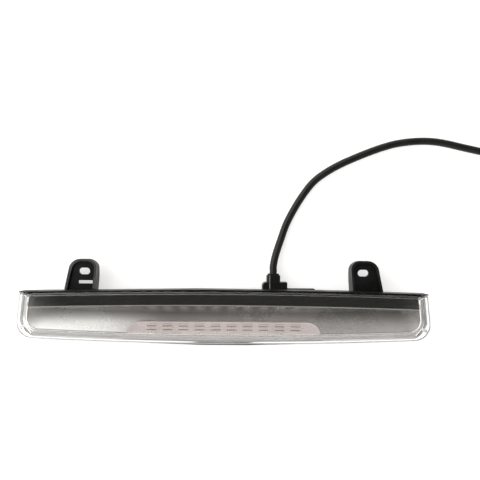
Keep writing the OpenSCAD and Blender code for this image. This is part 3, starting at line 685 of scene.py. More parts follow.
class Finishes:
    """Every finish of the lamp, by what it is on."""

    lens = ClearPlastic("Clear lens", (0.97, 0.975, 0.975), (0.94, 0.945, 0.945), (0.015, 0.04), bump=0.0006,
                        grain=120.0, scratches=0.15, lets_light_in=True)
    optic = OpticPlastic("Clear optic", (0.66, 0.6, 0.59), (0.6, 0.54, 0.53), (0.05, 0.1), bump=0.002, through=0.55,
                         lets_light_in=True)
    dome = ClearPlastic("Light source resin", (0.97, 0.93, 0.9), (0.95, 0.9, 0.86), (0.03, 0.06), bump=0.001)
    # The reflector's tone holds painted shade, painted light, painted reflections and a painted highlight, set in
    # Metallised.
    metallised = Metallised("Metallised reflector", (0.97, 0.96, 0.95), (0.6, 0.58, 0.56), (0.22, 0.3), 0.12,
                            grain=500.0, bump=0.002)
    bezel = BezelBlack("Bezel black", (0.002, 0.002, 0.002), (0.01, 0.01, 0.009), (0.3, 0.42), specular=0.1,
                       bump=0.008, dust=0.08)
    housing = Finish("Moulded black housing", (0.004, 0.004, 0.004), (0.008, 0.008, 0.008), (0.32, 0.5),
                     specular=0.18, grain=1500.0, bump=0.03, dust=0.12)
    # Both tabs are one black moulding: the left tab's rim carries a strong painted highlight and the right tab's a
    # faint one, as light falls from -X.
    left_tab = RimHighlightPlastic("Left tab black", (0.003, 0.003, 0.003), (0.006, 0.006, 0.006), (0.32, 0.5),
                             specular=0.15, grain=1500.0, bump=0.03, dust=0.1, rim=(0.075, 0.078, 0.08))
    right_tab = RimHighlightPlastic("Right tab black", (0.003, 0.003, 0.003), (0.006, 0.006, 0.006), (0.32, 0.5),
                              specular=0.15, grain=1500.0, bump=0.03, dust=0.1, rim=(0.014, 0.014, 0.015))
    boot = Finish("Black boot rubber", (0.004, 0.004, 0.004), (0.007, 0.007, 0.007), (0.35, 0.5), specular=0.18,
                  grain=1200.0, bump=0.02, dust=0.1)
    # The seam's light grey is a painted highlight of the boot's front edge.
    seam = Finish("Boot seam painted highlight", (0.12, 0.12, 0.12), (0.2, 0.2, 0.2), (0.25, 0.35), bump=0.01)
    jacket = Finish("Black cable jacket", (0.004, 0.004, 0.004), (0.007, 0.007, 0.007), (0.22, 0.34), specular=0.25,
                    grain=14.0, bump=0.03, along=True)
    seal = Finish("Sealing bead", (0.4, 0.4, 0.385), (0.33, 0.33, 0.32), (0.4, 0.55), bump=0.02, subsurface=0.1)
    board = Finish("Board green", (0.01, 0.09, 0.035), (0.015, 0.12, 0.045), (0.25, 0.4), bump=0.01, coat=0.3)
    package = Finish("Light source package", (0.74, 0.64, 0.6), (0.82, 0.72, 0.67), (0.3, 0.4), bump=0.01,
                     subsurface=0.1)
    component = Finish("Black component", (0.012, 0.012, 0.013), (0.02, 0.02, 0.022), (0.35, 0.5), bump=0.02)
    can = Finish("Capacitor can", (0.6, 0.6, 0.62), (0.5, 0.5, 0.52), (0.2, 0.35), 1.0, bump=0.005)
    nylon = Finish("White nylon", (0.78, 0.76, 0.7), (0.7, 0.68, 0.62), (0.35, 0.5), bump=0.02, subsurface=0.25)
    zinc = Finish("Zinc screw", (0.62, 0.63, 0.64), (0.52, 0.5, 0.42), (0.22, 0.36), 1.0, bump=0.006, scratches=0.4)
    red = Finish("Red insulation", (0.55, 0.012, 0.01), (0.45, 0.01, 0.008), (0.3, 0.42), grain=14.0, bump=0.01,
                 along=True)
    black = Finish("Black insulation", (0.01, 0.01, 0.01), (0.018, 0.018, 0.018), (0.3, 0.42), grain=14.0, bump=0.01,
                   along=True)
    red_lead = Finish("Red lead", (0.55, 0.012, 0.01), (0.45, 0.01, 0.008), (0.3, 0.42), bump=0.01)
    clamp = Finish("Grey nylon clamp", (0.09, 0.09, 0.095), (0.12, 0.12, 0.125), (0.4, 0.55), bump=0.02)
    vent = Finish("Vent white", (0.72, 0.72, 0.7), (0.64, 0.64, 0.62), (0.45, 0.6), bump=0.02)
    tie = Finish("Tie black", (0.014, 0.014, 0.014), (0.022, 0.022, 0.022), (0.35, 0.5), bump=0.02)
    sleeve = Finish("Shrink sleeve", (0.008, 0.008, 0.008), (0.014, 0.014, 0.014), (0.42, 0.58), bump=0.03)
    brass = Finish("Brass terminal", (0.72, 0.52, 0.22), (0.6, 0.42, 0.18), (0.2, 0.35), 1.0, bump=0.005)
    floor = Finish("Pale floor", (0.62, 0.62, 0.62), (0.6, 0.6, 0.6), (0.7, 0.8), specular=0.1, grain=300.0,
                   bump=0.01)


def dress(piece: bpy.types.Object, finish: Finish) -> bpy.types.Object:
    """Puts one finish on a piece and logs the piece's and the finish's names.

    Args:
        piece: A new piece or a frame node.
        finish: Its finish.

    Returns:
        The piece.
    """
    piece.data.materials.clear()
    piece.data.materials.append(finish.make())
    log.info("%s wears %s", piece.name, finish.name)
    return piece


# ---- Stage ---------------------------------------------------------------------------------------------------------


@dataclass
class Studio:
    """Camera over the lamp, pale floor and soft light."""

    height: float = 0.561
    over: tuple[float, float] = (0.0, 0.0596)
    focal: float = 42.6
    shift: tuple[float, float] = (0.033, 0.0)
    roll: float = 0.45
    floor_half: float = 6.0
    floor_glow: float = 0.6
    bright_side: Colour = (2.1, 2.09, 2.05)
    dim_side: Colour = (0.64, 0.6, 0.56)
    overhead: Colour = (0.05, 0.05, 0.05)

    def camera(self) -> None:
        """Hangs the camera over the lamp, looking straight down with +Y up the picture."""
        data = bpy.data.cameras.new("Camera")
        data.lens, data.sensor_width = self.focal, 36.0
        data.shift_x, data.shift_y = self.shift
        data.clip_start, data.clip_end = 0.01, 50.0
        eye = bpy.data.objects.new("Camera", data)
        eye.location = (*self.over, self.height)
        eye.rotation_euler = (0.0, 0.0, math.radians(self.roll))
        bpy.context.scene.collection.objects.link(eye)
        bpy.context.scene.camera = eye

    def lamp(self, name: str, where: Colour, towards: Colour, size: tuple[float, float], watts: float) -> None:
        """Rectangular area light at a place, facing another.

        Args:
            name: Name of the light.
            where: Its place in metres.
            towards: The point that it faces.
            size: Width and height in metres.
            watts: Its power.
        """
        data = bpy.data.lights.new(name, "AREA")
        data.shape, data.size, data.size_y, data.energy = "RECTANGLE", size[0], size[1], watts
        light = bpy.data.objects.new(name, data)
        light.location = where
        light.rotation_euler = (Vector(towards) - Vector(where)).to_track_quat("-Z", "Y").to_euler()
        bpy.context.scene.collection.objects.link(light)

    def sky(self) -> None:
        """Soft sky: bright towards -X, dim and warm towards +X, and dark straight overhead, by smooth steps."""
        world = bpy.data.worlds.new("Studio sky")
        bpy.context.scene.world = world
        world.use_nodes = True
        g = Graph(world.node_tree)
        split = g.add("SeparateXYZ")
        g.join(g.add("TexCoord").outputs["Generated"], split.inputs[0])
        share = g.ramp(split.outputs[0], -0.35, 0.35)
        colour = g.blend(share, self.bright_side, self.dim_side)
        overhead = g.ramp(split.outputs[2], 0.9, 0.95)
        full = g.blend(overhead, colour, self.overhead)
        g.join(full, world.node_tree.nodes["Background"].inputs[0])

    def build(self) -> None:
        """Makes the floor, the sky and the lights, and sets how light becomes picture tone."""
        h = self.floor_half / MM
        corners = np.array([[-h, -h, 0], [h, -h, 0], [h, h, 0], [-h, h, 0]], float)
        ground = build("Floor", corners, np.array([[0, 1, 2, 3]]), closed=False)
        ground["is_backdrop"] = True
        floor = Finishes.floor.make()
        ground.data.materials.append(floor)
        glow = floor.node_tree.nodes["Principled BSDF"]
        glow.inputs["Emission Color"].default_value = (1.0, 1.0, 1.0, 1.0)
        glow.inputs["Emission Strength"].default_value = self.floor_glow
        self.sky()
        self.lamp("Key", (-1.5, 0.7, 1.5), (0.0, 0.0, 0.0), (1.8, 1.4), 9.0)
        view = bpy.context.scene.view_settings
        view.view_transform, view.look, view.exposure, view.gamma = "Standard", "None", 0.0, 1.0


# ---- Cord ----------------------------------------------------------------------------------------------------------


@dataclass
class Cord:
    """Round lead: out of the boot, along the floor, wound into a tied coil, and out to its connector."""

    diameter: float = 7.2
    exit: Colour = (48.0, 27.25245, 9.0)
    bend: tuple[Colour, ...] = (
        (48, 27.25245, 9), (48, 30.75245, 9), (48, 34.75245, 9), (49.6, 43, 8.2), (52.4, 52, 6.4), (55.6, 61, 4.6),
    )
    along: tuple[tuple[float, float], ...] = (
        (60.6, 75), (67.6, 89), (76.8, 104), (87.4, 117.4), (100.6, 127.4), (113.8, 134.8), (127, 140.8),
        (140, 146.2), (153, 151), (166, 154.8), (179, 157), (192, 158), (205, 157.6), (218, 155.6),
        (233, 152.2), (250, 148.6), (268, 144.8), (286, 140.9), (302, 137.4), (316.7, 134.2),
    )
    tail: tuple[Colour, ...] = (
        (354.6, 78, 10.08), (354.2, 68, 7.2), (354, 59, 4.392), (354, 53, 3.6), (354, 50.5, 3.6), (354, 48, 3.6),
    )
    coil_centre: tuple[float, float] = (307.0, 88.5)
    coil_radius: float = 39.5
    length: float = 1.45

    def winding(self) -> np.ndarray:
        """Turns of the coil, clockwise from the run-in.

        The bottom layer's radius falls by one diameter a turn for two turns; the cord then climbs one diameter over a
        sixth of a turn, and the top layer's radius grows by one diameter a turn until the cord heads for the tail.

        Returns:
            The turns' points in millimetres.
        """
        per_turn, inward, outward = 48, 2.0, 2.217
        turns = np.linspace(0.0, inward + outward, int((inward + outward) * per_turn) + 1)[1:]
        fall = self.coil_radius + self.diameter - self.diameter * np.minimum(turns, inward)
        reach = fall + self.diameter * np.maximum(turns - inward, 0.0)
        climb = np.clip((turns - inward + 0.08) / 0.16, 0.0, 1.0)
        level = self.diameter / 2 + self.diameter * (climb * climb * (3 - 2 * climb))
        angle = np.radians(78.0) - 2 * np.pi * turns
        return np.stack([
            self.coil_centre[0] + reach * np.cos(angle), self.coil_centre[1] + reach * np.sin(angle), level
        ], 1)

    def path(self) -> np.ndarray:
        """The whole centreline, from the boot to the cut end of the jacket.

        Returns:
            Points in millimetres.
        """
        floor = np.array([(x, y, self.diameter / 2) for x, y in self.along])
        run = spline(np.vstack([np.array(self.bend, float), floor]), 4)
        coil = self.winding()
        out = spline(np.vstack([coil[-1:], np.array(self.tail, float)]), 4)[1:]
        whole = np.vstack([run, coil, out])
        whole[:, 2] = np.maximum(whole[:, 2], self.diameter / 2)
        return whole

    def strap(self) -> bpy.types.Object:
        """Tie round the coil: a flat band carried round a rounded rectangle.

        The band's section is 5 mm wide and 1 mm thick; its loop is the coil's own section grown by half a millimetre.
        """
        t = np.linspace(0, 2 * np.pi, 48, endpoint=False)
        half_w, half_h, power = self.diameter * 1.5 + 0.55, self.diameter + 0.5, 0.35
        loop = np.stack([
            np.sign(np.cos(t)) * np.abs(np.cos(t)) ** power * half_w,
            np.sign(np.sin(t)) * np.abs(np.sin(t)) ** power * half_h + half_h - 0.05,
        ], 1)
        inner = loop * 1.0
        centre = np.array([0.0, half_h])
        inner = centre + (loop - centre) * np.array([1 - 0.9 / half_w, 1 - 0.9 / half_h])
        turn = math.radians(250.0)
        radial, across = np.array([math.cos(turn), math.sin(turn)]), np.array([-math.sin(turn), math.cos(turn)])

        def place(section: np.ndarray, offset: float) -> np.ndarray:
            flat = np.outer(self.coil_radius + section[:, 0], radial) + offset * across + np.array(self.coil_centre)
            return np.column_stack([flat, np.clip(section[:, 1], 0.0, 15.3)])

        rings = np.stack([place(loop, -2.4), place(loop, 2.4), place(inner, 2.4), place(inner, -2.4)])
        return loft("coil_strap", rings, 30, solid=False)

    def build(self) -> None:
        line = self.path()
        lead = tube("power_lead", line, self.diameter / 2)
        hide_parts("cable", "cable_coil", "cable_tail")
        dress(lead, Finishes.jacket)
        strap = self.strap()
        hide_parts("coil_tie")
        dress(strap, Finishes.tie)
        sleeve_r = self.diameter / 2
        profile = np.array([
            [0.4, 34.0], [sleeve_r - 0.75, 34.0], [sleeve_r - 0.3, 34.5], [sleeve_r - 0.12, 36.0],
            [sleeve_r - 0.02, 38.0], [sleeve_r - 0.1, 41.0], [sleeve_r - 0.02, 44.0], [sleeve_r - 0.1, 47.4], [0.4, 48.0],
        ])
        sleeve = spun("shrink_end", profile, (354.0, 0.0, 3.6), Axis.Y)
        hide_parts("end_sleeve")
        dress(sleeve, Finishes.sleeve)
        for side, label, finish, slot in ((-1, "red_core", Finishes.red, "red_insulation"),
                                          (1, "black_core", Finishes.black, "black_insulation")):
            route = np.array([
                (354 + side * off, y, z)
                for off, y, z in ((1.6, 34, 3.6), (1.6, 33, 3.6), (1.6, 32, 3.6), (3.4, 21, 2.6), (3.4, 12, 4.2),
                                  (3.4, 10, 4.2), (3.4, 8, 4.2))
            ])
            core = tube(label, spline(route, 6), 0.95, 12)
            dress(core, finish)
        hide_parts("end_cores")
        plug = softened("connector_housing", "connector_shell", 0.35)
        dress(plug, Finishes.nylon)
        pins = dress(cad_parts["connector_terminals"], Finishes.brass)
        measured = float(np.linalg.norm(np.diff(line, axis=0), axis=1).sum()) * MM
        log.info("the cord's line measures %.3f m", measured)


# ---- Outlines shared by the lens, the reflector and the optic ------------------------------------------------------


@dataclass
class Shape:
    """Sizes of the lamp's face, and the outline that they give at each level."""

    width: float = 392.8
    height: float = 51.5
    top_r: float = 6040.0
    bottom_r: float = 3860.0
    corner: float = 14.5
    top_corner: float = 1.6
    lean: float = math.tan(math.radians(5.6))
    rim_z: float = 20.8
    flare_z: float = 22.8
    front_z: float = 37.0
    crest_z: float = 33.0
    flare_side: float = 14.2
    flare_bottom: float = 9.5
    flare_top: float = 0.8
    round_n: int = 12
    edge_n: int = 64

    @property
    def arch(self) -> float:
        """Height of the top edge's middle over its corners: its half width squared over twice its radius."""
        half = self.width / 2 - (self.height - self.corner - 6) * self.lean
        return half * half / (2 * self.top_r)

    @property
    def bottom(self) -> float:
        """Height of the bottom edge's middle."""
        return self.arch - self.height

    def top_line(self, x: np.ndarray, top: np.ndarray | float) -> np.ndarray:
        """Arched line: its height at the middle less x squared over twice the radius."""
        return top - x * x / (2 * self.top_r)

    def bottom_line(self, x: np.ndarray, low: np.ndarray | float) -> np.ndarray:
        """Bowed line: its height at the middle plus x squared over twice the radius."""
        return low + x * x / (2 * self.bottom_r)

    def count(self) -> int:
        """Points in an outline."""
        return 4 * (self.round_n + 1) + 2 * (self.edge_n - 1)

    def outline(self, half: object, top: object, low: object, r: object, r_top: object) -> np.ndarray:
        """Closed outline: arched top, leaning sides, round corners and bowed bottom, clockwise from the top right.

        A corner from a to b whose sides meet at c is the conic (u^2 a + w c + t^2 b) / (u^2 + w + t^2), where u is
        1 - t and w is 2 t u cos 45.

        Args:
            half: Half width low on the sides.
            top: Height of the top edge's middle.
            low: Height of the bottom edge's middle.
            r: Radius of the bottom corners.
            r_top: Radius of the top corners.

        Returns:
            Pairs of x and y in lamp millimetres, in the last two dimensions of the array.
        """
        n = self.count()
        half, top, low, r, r_top = np.broadcast_arrays(*(np.asarray(v, float) for v in (half, top, low, r, r_top)))
        if half.ndim == 0 or half.shape[-1] != n:
            half, top, low, r, r_top = (np.repeat(v[..., None], n, -1) for v in (half, top, low, r, r_top))
        k, m = self.round_n + 1, self.edge_n - 1
        base_y = self.bottom_line(half - r, low)
        side_y = base_y + r
        top_x = half - (self.top_line(half, top) - side_y) * self.lean
        top_y = self.top_line(top_x, top)

        def conic(a: tuple, c: tuple, b: tuple, t: np.ndarray) -> np.ndarray:
            u = 1 - t
            w = 2 * t * u * math.cos(math.pi / 4)
            whole = u * u + w + t * t
            return np.stack([(u * u * a[i] + w * c[i] + t * t * b[i]) / whole for i in (0, 1)], -1)

        t = np.linspace(0, 1, k)
        out = np.zeros(half.shape + (2,))
        spans = {"rt": slice(0, k), "rb": slice(k, 2 * k), "low": slice(2 * k, 2 * k + m),
                 "lb": slice(2 * k + m, 3 * k + m), "lt": slice(3 * k + m, 4 * k + m), "high": slice(4 * k + m, n)}

        def upper(s: slice, t: np.ndarray) -> np.ndarray:
            x0 = top_x[..., s] - r_top[..., s]
            return conic((x0, self.top_line(x0, top[..., s])), (top_x[..., s], top_y[..., s]),
                         (top_x[..., s] + r_top[..., s] * self.lean, top_y[..., s] - r_top[..., s]), t)

        def lower(s: slice, t: np.ndarray) -> np.ndarray:
            h, y = half[..., s], base_y[..., s]
            return conic((h, side_y[..., s]), (h, y), (h - r[..., s], y), t)

        mirror = np.array([-1.0, 1.0])
        out[..., spans["rt"], :] = upper(spans["rt"], t)
        out[..., spans["rb"], :] = lower(spans["rb"], t)
        out[..., spans["lb"], :] = lower(spans["lb"], t[::-1]) * mirror
        out[..., spans["lt"], :] = upper(spans["lt"], t[::-1]) * mirror
        share = np.arange(1, self.edge_n) / self.edge_n
        s = spans["low"]
        x = (half[..., s] - r[..., s]) * (1 - 2 * share)
        out[..., s, :] = np.stack([x, self.bottom_line(x, low[..., s])], -1)
        s = spans["high"]
        x = (top_x[..., s] - r_top[..., s]) * (2 * share - 1)
        out[..., s, :] = np.stack([x, self.top_line(x, top[..., s])], -1)
        return out

    def flare(self, z: float) -> float:
        """Share of the flare at a level: 0 at the rim and 1 at the front."""
        return max(0.0, (z - self.flare_z) / (self.front_z - self.flare_z))

    def lens_ring(self, z: float, inset: float, level: float | None = None) -> np.ndarray:
        """Ring of the lens's outline at level z, drawn in by inset, placed in the frame's coordinates.

        Args:
            z: Level that sets the flare.
            inset: How far the ring stands in.
            level: Where the ring is placed, when it isn't at z.

        Returns:
            Points of the ring in millimetres.
        """
        f = self.flare(z)
        flat = self.outline(
            self.width / 2 - f * self.flare_side - inset, self.arch - f * self.flare_top - inset,
            self.bottom + f * self.flare_bottom + inset, self.corner - f * 2 - inset * 0.4, self.top_corner,
        )
        return self.lift(flat, z if level is None else level)

    def lift(self, flat: np.ndarray, z: object) -> np.ndarray:
        """Places lamp pairs in the frame, at height z."""
        z = np.broadcast_to(np.asarray(z, float), flat.shape[:-1])
        return np.stack([flat[..., 0], flat[..., 1] + ROW_Y, z], -1)


# ---- Lens ----------------------------------------------------------------------------------------------------------


@dataclass
class Lens:
    """Clear cover with flared walls and a rounded front edge."""

    shape: Shape = field(default_factory=Shape)
    wall: float = 2.4
    front: float = 2.2
    edge: float = 1.6

    def rounding(self, level: float, inset: float, radius: float) -> np.ndarray:
        """Rings round the front edge: a quarter circle, in by 1 - cos and up by sin of the angle."""
        angle = np.linspace(0, np.pi / 2, 6)
        return np.stack([
            self.shape.lens_ring(level, inset + radius * (1 - math.cos(a)), level - radius * (1 - math.sin(a)))
            for a in angle
        ])

    def build(self) -> None:
        """Skins the outer face from front to foot and the inner face back up, as one closed shell."""
        s = self.shape
        outer = self.rounding(s.front_z, 0.0, self.edge)[::-1]
        levels = np.linspace(s.front_z - self.edge, s.flare_z, 5)[1:-1]
        flare = np.stack([s.lens_ring(z, 0.0) for z in levels])
        rim = np.stack([s.lens_ring(s.flare_z + 0.5, 0.0), s.lens_ring(s.flare_z, 0.0, s.flare_z - 0.2),
                        s.lens_ring(s.rim_z, 0.0, s.rim_z + 0.3), s.lens_ring(s.rim_z, 0.25, s.rim_z)])
        foot = np.stack([s.lens_ring(s.rim_z, self.wall - 0.2, s.rim_z), s.lens_ring(s.rim_z, self.wall, s.rim_z + 0.3),
                         s.lens_ring(s.flare_z, self.wall, s.flare_z)])
        inner_z = s.front_z - self.front
        inner = self.rounding(inner_z, self.wall, self.edge / 2)
        rings = np.concatenate([outer, flare, rim, foot, inner])
        cover = loft("lens_shell", rings, 50)
        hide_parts("lens_cover")
        dress(cover, Finishes.lens)
        dress(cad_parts["lens_seal"], Finishes.seal)


# ---- Reflector, bezel and optic ------------------------------------------------------------------------------------


@dataclass
class Reflector:
    """Metallised bowl with a painted highlight along its edge, and the black bezel over it."""

    shape: Shape = field(default_factory=Shape)
    depth: float = 18.0
    crest: float = 1.0
    bezel_h: float = 13.4
    inside: float = 2.9
    skin: float = 0.22
    optic_half: float = 90.1
    optic_top: float = -25.6
    optic_r: float = 12.3
    rows: int = 40

    def steps(self, share: np.ndarray) -> tuple[np.ndarray, np.ndarray, np.ndarray]:
        """How far the bowl's ends, top and bottom draw in at a share of its depth, by smooth interpolation."""
        at = np.array([0.0, 0.39, 0.78, 1.0])
        fine = np.linspace(0, 1, 200)
        kernel = np.hanning(31)
        kernel /= kernel.sum()

        def smooth(values: list[float]) -> np.ndarray:
            raw = np.interp(fine, at, values)
            padded = np.concatenate([2 * raw[0] - raw[15:0:-1], raw, 2 * raw[-1] - raw[-2:-17:-1]])
            return np.interp(share, fine, np.convolve(padded, kernel, "valid"))

        return smooth([0, 3, 8, 14]), smooth([0, 1, 2, 4]), smooth([0, 6, 13, 18])

    def bowl(self) -> bpy.types.Object:
        """Bright skin of the bowl.

        Point (i, j) stands on the outline at share i of the depth, point j of it. Below the optic's pocket the share
        starts where the bowl's slope meets the pocket's edge, so that the skin stops there. The floor runs from the
        last ring to a line along its middle. The side that faces the lens is the front.
        """
        s = self.shape
        f = s.flare(s.crest_z)
        top = s.arch - self.bezel_h - self.crest
        low = s.bottom + f * s.flare_bottom + self.inside + self.crest
        half = s.width / 2 - f * s.flare_side - self.inside - self.crest
        n = s.count()
        first = s.outline(half, top, low, 9.0, 1.0)
        x = first[:, 0]
        reach = np.clip(np.abs(x), 0, self.optic_half)
        into = np.clip(reach - (self.optic_half - self.optic_r), 0, self.optic_r)
        cut_y = self.optic_top - (self.optic_r - np.sqrt(np.maximum(self.optic_r**2 - into**2, 0.0)))
        k, m = s.round_n + 1, s.edge_n - 1
        beneath = np.zeros(n, bool)
        beneath[2 * k: 2 * k + m] = np.abs(x[2 * k: 2 * k + m]) < self.optic_half
        fine = np.linspace(0, 1, 400)
        lift = self.steps(fine)[2]
        start = np.interp(np.maximum(cut_y - s.bottom_line(x, low), 0.0), lift, fine)
        start = np.where(beneath, start, 0.0)
        t = np.linspace(0, 1, self.rows)[:, None]
        share = start[None] + (1 - start[None]) * t
        side, drop, rise = self.steps(share)
        flat = s.outline(half - side - self.skin, top - drop - self.skin, low + rise + self.skin,
                         np.maximum(2, 9 - side * 0.5), 1.0)
        level = s.crest_z + 0.02 - share * (self.depth - self.skin)
        rings = s.lift(flat, level)
        spine = rings[-1].copy()
        end = np.abs(spine[:, 0]).max() - 6.0
        spine[:, 0] = np.clip(spine[:, 0], -end, end)
        middle = s.top_line(spine[:, 0], top - drop[-1]) + s.bottom_line(spine[:, 0], low + rise[-1])
        spine[:, 1] = middle / 2 + rings[-1, :, 1] - flat[-1, :, 1]
        points = np.concatenate([rings, spine[None]]).reshape(-1, 3)
        quads = grid_quads(self.rows + 1, n, wrap=True)[:, ::-1]
        return build("bowl_skin", points, quads, [], sharp=55, closed=False)

    def bezel(self) -> bpy.types.Object:
        """Black strip under the lens's top edge: its section is carried along the arch.

        The section's upper part lies 0.5 mm deeper than the lower part, with a small slope between them.
        """
        s = self.shape
        x = np.linspace(-1, 1, 161)[:, None]
        f = s.flare(s.crest_z)
        section = np.array([
            (0.0, 31.1), (0.0, 32.6), (0.3, 32.9), (6.9, 32.9), (7.5, 33.3), (13.0, 33.3), (13.4, 32.9), (13.4, 31.1),
        ])
        down = section[:, 0] * (self.bezel_h - self.inside - f * s.flare_top - 0.2) / 13.4
        top = s.arch - f * s.flare_top - self.inside - 0.2
        half = s.width / 2 - f * s.flare_side - self.inside - 0.25
        ends = half - (s.top_line(np.array(half), top - down) - s.bottom - 20.0) * s.lean
        at = x * (ends[None] + 0.9)
        points = np.stack([at, s.top_line(at, top - down[None]) + ROW_Y, np.broadcast_to(section[:, 1], at.shape)], -1)
        return loft("bezel_strip", points, 25)

    def build(self) -> None:
        """Makes the bowl's skin and the bezel, and dresses the reflector's own body."""
        bowl = self.bowl()
        dress(bowl, Finishes.metallised)
        dress(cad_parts["reflector"], Finishes.metallised)
        strip = self.bezel()
        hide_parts("upper_bezel")
        dress(strip, Finishes.bezel)


@dataclass
class Optic:
    """Clear box over the light sources: plain walls and a pillowed face."""

    shape: Shape = field(default_factory=Shape)
    half: float = 89.8
    top: float = -25.9
    radius: float = 12.0
    wall: float = 1.8
    foot_z: float = 21.4
    face_z: float = 34.0
    pillow: float = 1.75
    relief: float = 0.5

    def outline(self, inset: float, columns: int = 60) -> tuple[np.ndarray, np.ndarray]:
        """Upper and lower edge of the optic over a row of x positions.

        The upper edge is flat and falls by a quarter circle at its ends; the lower edge follows the lens's bottom.

        Args:
            inset: How far the outline is drawn in.
            columns: Number of positions.

        Returns:
            The upper edge's and the lower edge's points, left to right.
        """
        s = self.shape
        half, r = self.half - inset, self.radius - inset * 0.5
        turn = np.linspace(0, np.pi / 2, 14)
        bend_x = half - r + r * np.sin(turn)
        bend_y = self.top - inset - r * (1 - np.cos(turn))
        middle = np.linspace(-(half - r), half - r, columns)[1:-1]
        x = np.concatenate([-bend_x[::-1], middle, bend_x])
        y = np.concatenate([bend_y[::-1], np.full(len(middle), self.top - inset), bend_y])
        f = s.flare(self.face_z)
        low = s.bottom_line(x, s.bottom + f * s.flare_bottom + 3.1 + inset)
        return np.stack([x, y], 1), np.stack([x, low], 1)

    def drop(self, y: np.ndarray, x: np.ndarray) -> np.ndarray:
        """Height of the face: level above its lower front edge, and falling with the lens's flare below it."""
        s = self.shape
        f = s.flare(self.face_z)
        edge = s.bottom_line(x, s.bottom + f * s.flare_bottom + 3.1)
        foot = s.bottom_line(x, s.bottom + 3.3)
        share = np.clip((edge - y) / (edge - foot), 0, 1)
        return self.face_z - share * (self.face_z - s.flare_z)

    def walls(self) -> bpy.types.Object:
        """Wall along the upper outline and down both ends: a section of four corners carried along it.

        Its foot is level and its top follows the underside of the face.
        """
        s = self.shape

        def line(inset: float) -> np.ndarray:
            upper, lower = self.outline(inset)
            low = s.bottom_line(upper[[0, -1], 0], s.bottom + 3.6 + inset)
            t = np.linspace(0, 1, 12)[:-1, None]
            left = np.column_stack([np.full(11, upper[0, 0]), low[0] + (upper[0, 1] - low[0]) * t[:, 0]])
            right = np.column_stack([np.full(11, upper[-1, 0]), low[1] + (upper[-1, 1] - low[1]) * t[::-1, 0]])
            return np.vstack([left, upper, right])

        outer, inner = line(0.02), line(self.wall)
        top_o = np.maximum(self.drop(outer[:, 1], outer[:, 0]) - self.wall - 0.05, self.foot_z + 0.2)
        top_i = np.maximum(self.drop(inner[:, 1], inner[:, 0]) - self.wall - 0.05, self.foot_z + 0.2)
        foot = np.full(len(outer), self.foot_z)
        section = np.stack([s.lift(outer, foot), s.lift(outer, top_o), s.lift(inner, top_i), s.lift(inner, foot)], 1)
        return loft("optic_walls", section, 40)

    def face(self) -> bpy.types.Object:
        """Face of the optic, as a slab with relief on its front, which bends over the lower edge down to the foot.

        The relief is the sum of two raised cosines of the pillow's pitch, in x and along the slab, at full height low
        down and a quarter of it over the light sources. The bend is rounded by a moving average along the rows.
        """
        s = self.shape
        upper, _ = self.outline(0.0, columns=400)
        rows = 80
        foot = s.bottom_line(upper[:, 0], s.bottom + 3.45)
        t = np.linspace(0, 1, rows)[:, None]
        x = np.broadcast_to(upper[:, 0], (rows, len(upper)))
        y = foot + (upper[:, 1] - foot) * t
        z = self.drop(y, x)
        soft = np.pad(z, ((3, 3), (0, 0)), "edge")
        z = np.mean([soft[i: i + rows] for i in range(7)], axis=0)
        slope = np.gradient(z, axis=0) / np.gradient(y, axis=0)
        lean = 1 / np.sqrt(1 + slope**2)
        turn = 2 * np.pi / self.pillow
        share = 1 / (1 + np.exp((y + 36.0) * 2.5))
        run = y - (self.face_z - z) * 0.45
        relief = self.relief * (0.25 + 0.75 * share) * (np.cos(x * turn) + np.cos(run * turn) - 2) / 2
        relief *= np.minimum(np.minimum(t, 1 - t) * 40, 1)
        front = s.lift(np.stack([x, y - relief * slope * lean], -1), z - 0.02 + relief * lean)
        back = s.lift(np.stack([x, y + self.wall * slope * lean * 0.8], -1), z - self.wall * lean)
        count = rows * x.shape[1]
        quads = grid_quads(rows, x.shape[1])
        index = np.arange(count).reshape(rows, -1)
        border = np.concatenate([index[0, :-1], index[:-1, -1], index[-1, :0:-1], index[:0:-1, 0]])
        after = np.roll(border, -1)
        sides = np.stack([border, border + count, after + count, after], 1)
        every = np.vstack([quads, quads[:, ::-1] + count, sides])
        return build("optic_face", np.vstack([front.reshape(-1, 3), back.reshape(-1, 3)]), every, sharp=50)

    def build(self) -> None:
        """Makes the walls and the face in place of the frame's plain optic."""
        walls, face = self.walls(), self.face()
        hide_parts("inner_optic")
        for piece in (walls, face):
            dress(piece, Finishes.optic)


# ---- Housing, tabs and boot ----------------------------------------------------------------------------------------


@dataclass
class Housing:
    """Black tray with its two tabs, the boot and the vent."""

    seam_x: float = 44.2

    def seam(self) -> bpy.types.Object:
        """Mould seam on the boot: a low ridge carried up the block's and the collar's fronts, dressed light grey as a
        painted highlight of the boot's front edge.

        The ridge's section is half an ellipse 0.9 mm wide and 0.35 mm high.
        """
        y = np.array([-1.5, 9.2, 9.85, 10.4, 15.9, 16.6]) + ROW_Y
        z = np.array([16.0, 16.0, 15.2, 15.0, 15.0, 14.6])
        t = np.linspace(0, np.pi, 9)
        x = self.seam_x + 0.45 * np.cos(t)
        lift = 0.35 * np.sin(t) - 0.12
        fade = np.array([0.2, 1, 1, 1, 1, 0.2])[:, None]
        rings = np.stack(np.broadcast_arrays(x[None], y[:, None], z[:, None] + lift[None] * fade), -1)
        return loft("boot_seam", rings, 60)

    def build(self) -> None:
        """Rounds and dresses the black pieces."""
        for node, name, radius, finish in (
            ("rear_housing", "housing_tray", 0.3, Finishes.housing),
            ("left_mounting_tab", "left_tab", 0.45, Finishes.left_tab),
            ("right_mounting_tab", "right_tab", 0.45, Finishes.right_tab),
        ):
            dress(softened(node, name, radius), finish)
        dress(softened("cable_boot", "lead_boot", 0.5), Finishes.boot)
        dress(self.seam(), Finishes.seam)
        dress(softened("breather_vent", "vent_cap", 0.2), Finishes.vent)


# ---- Board and small pieces ----------------------------------------------------------------------------------------


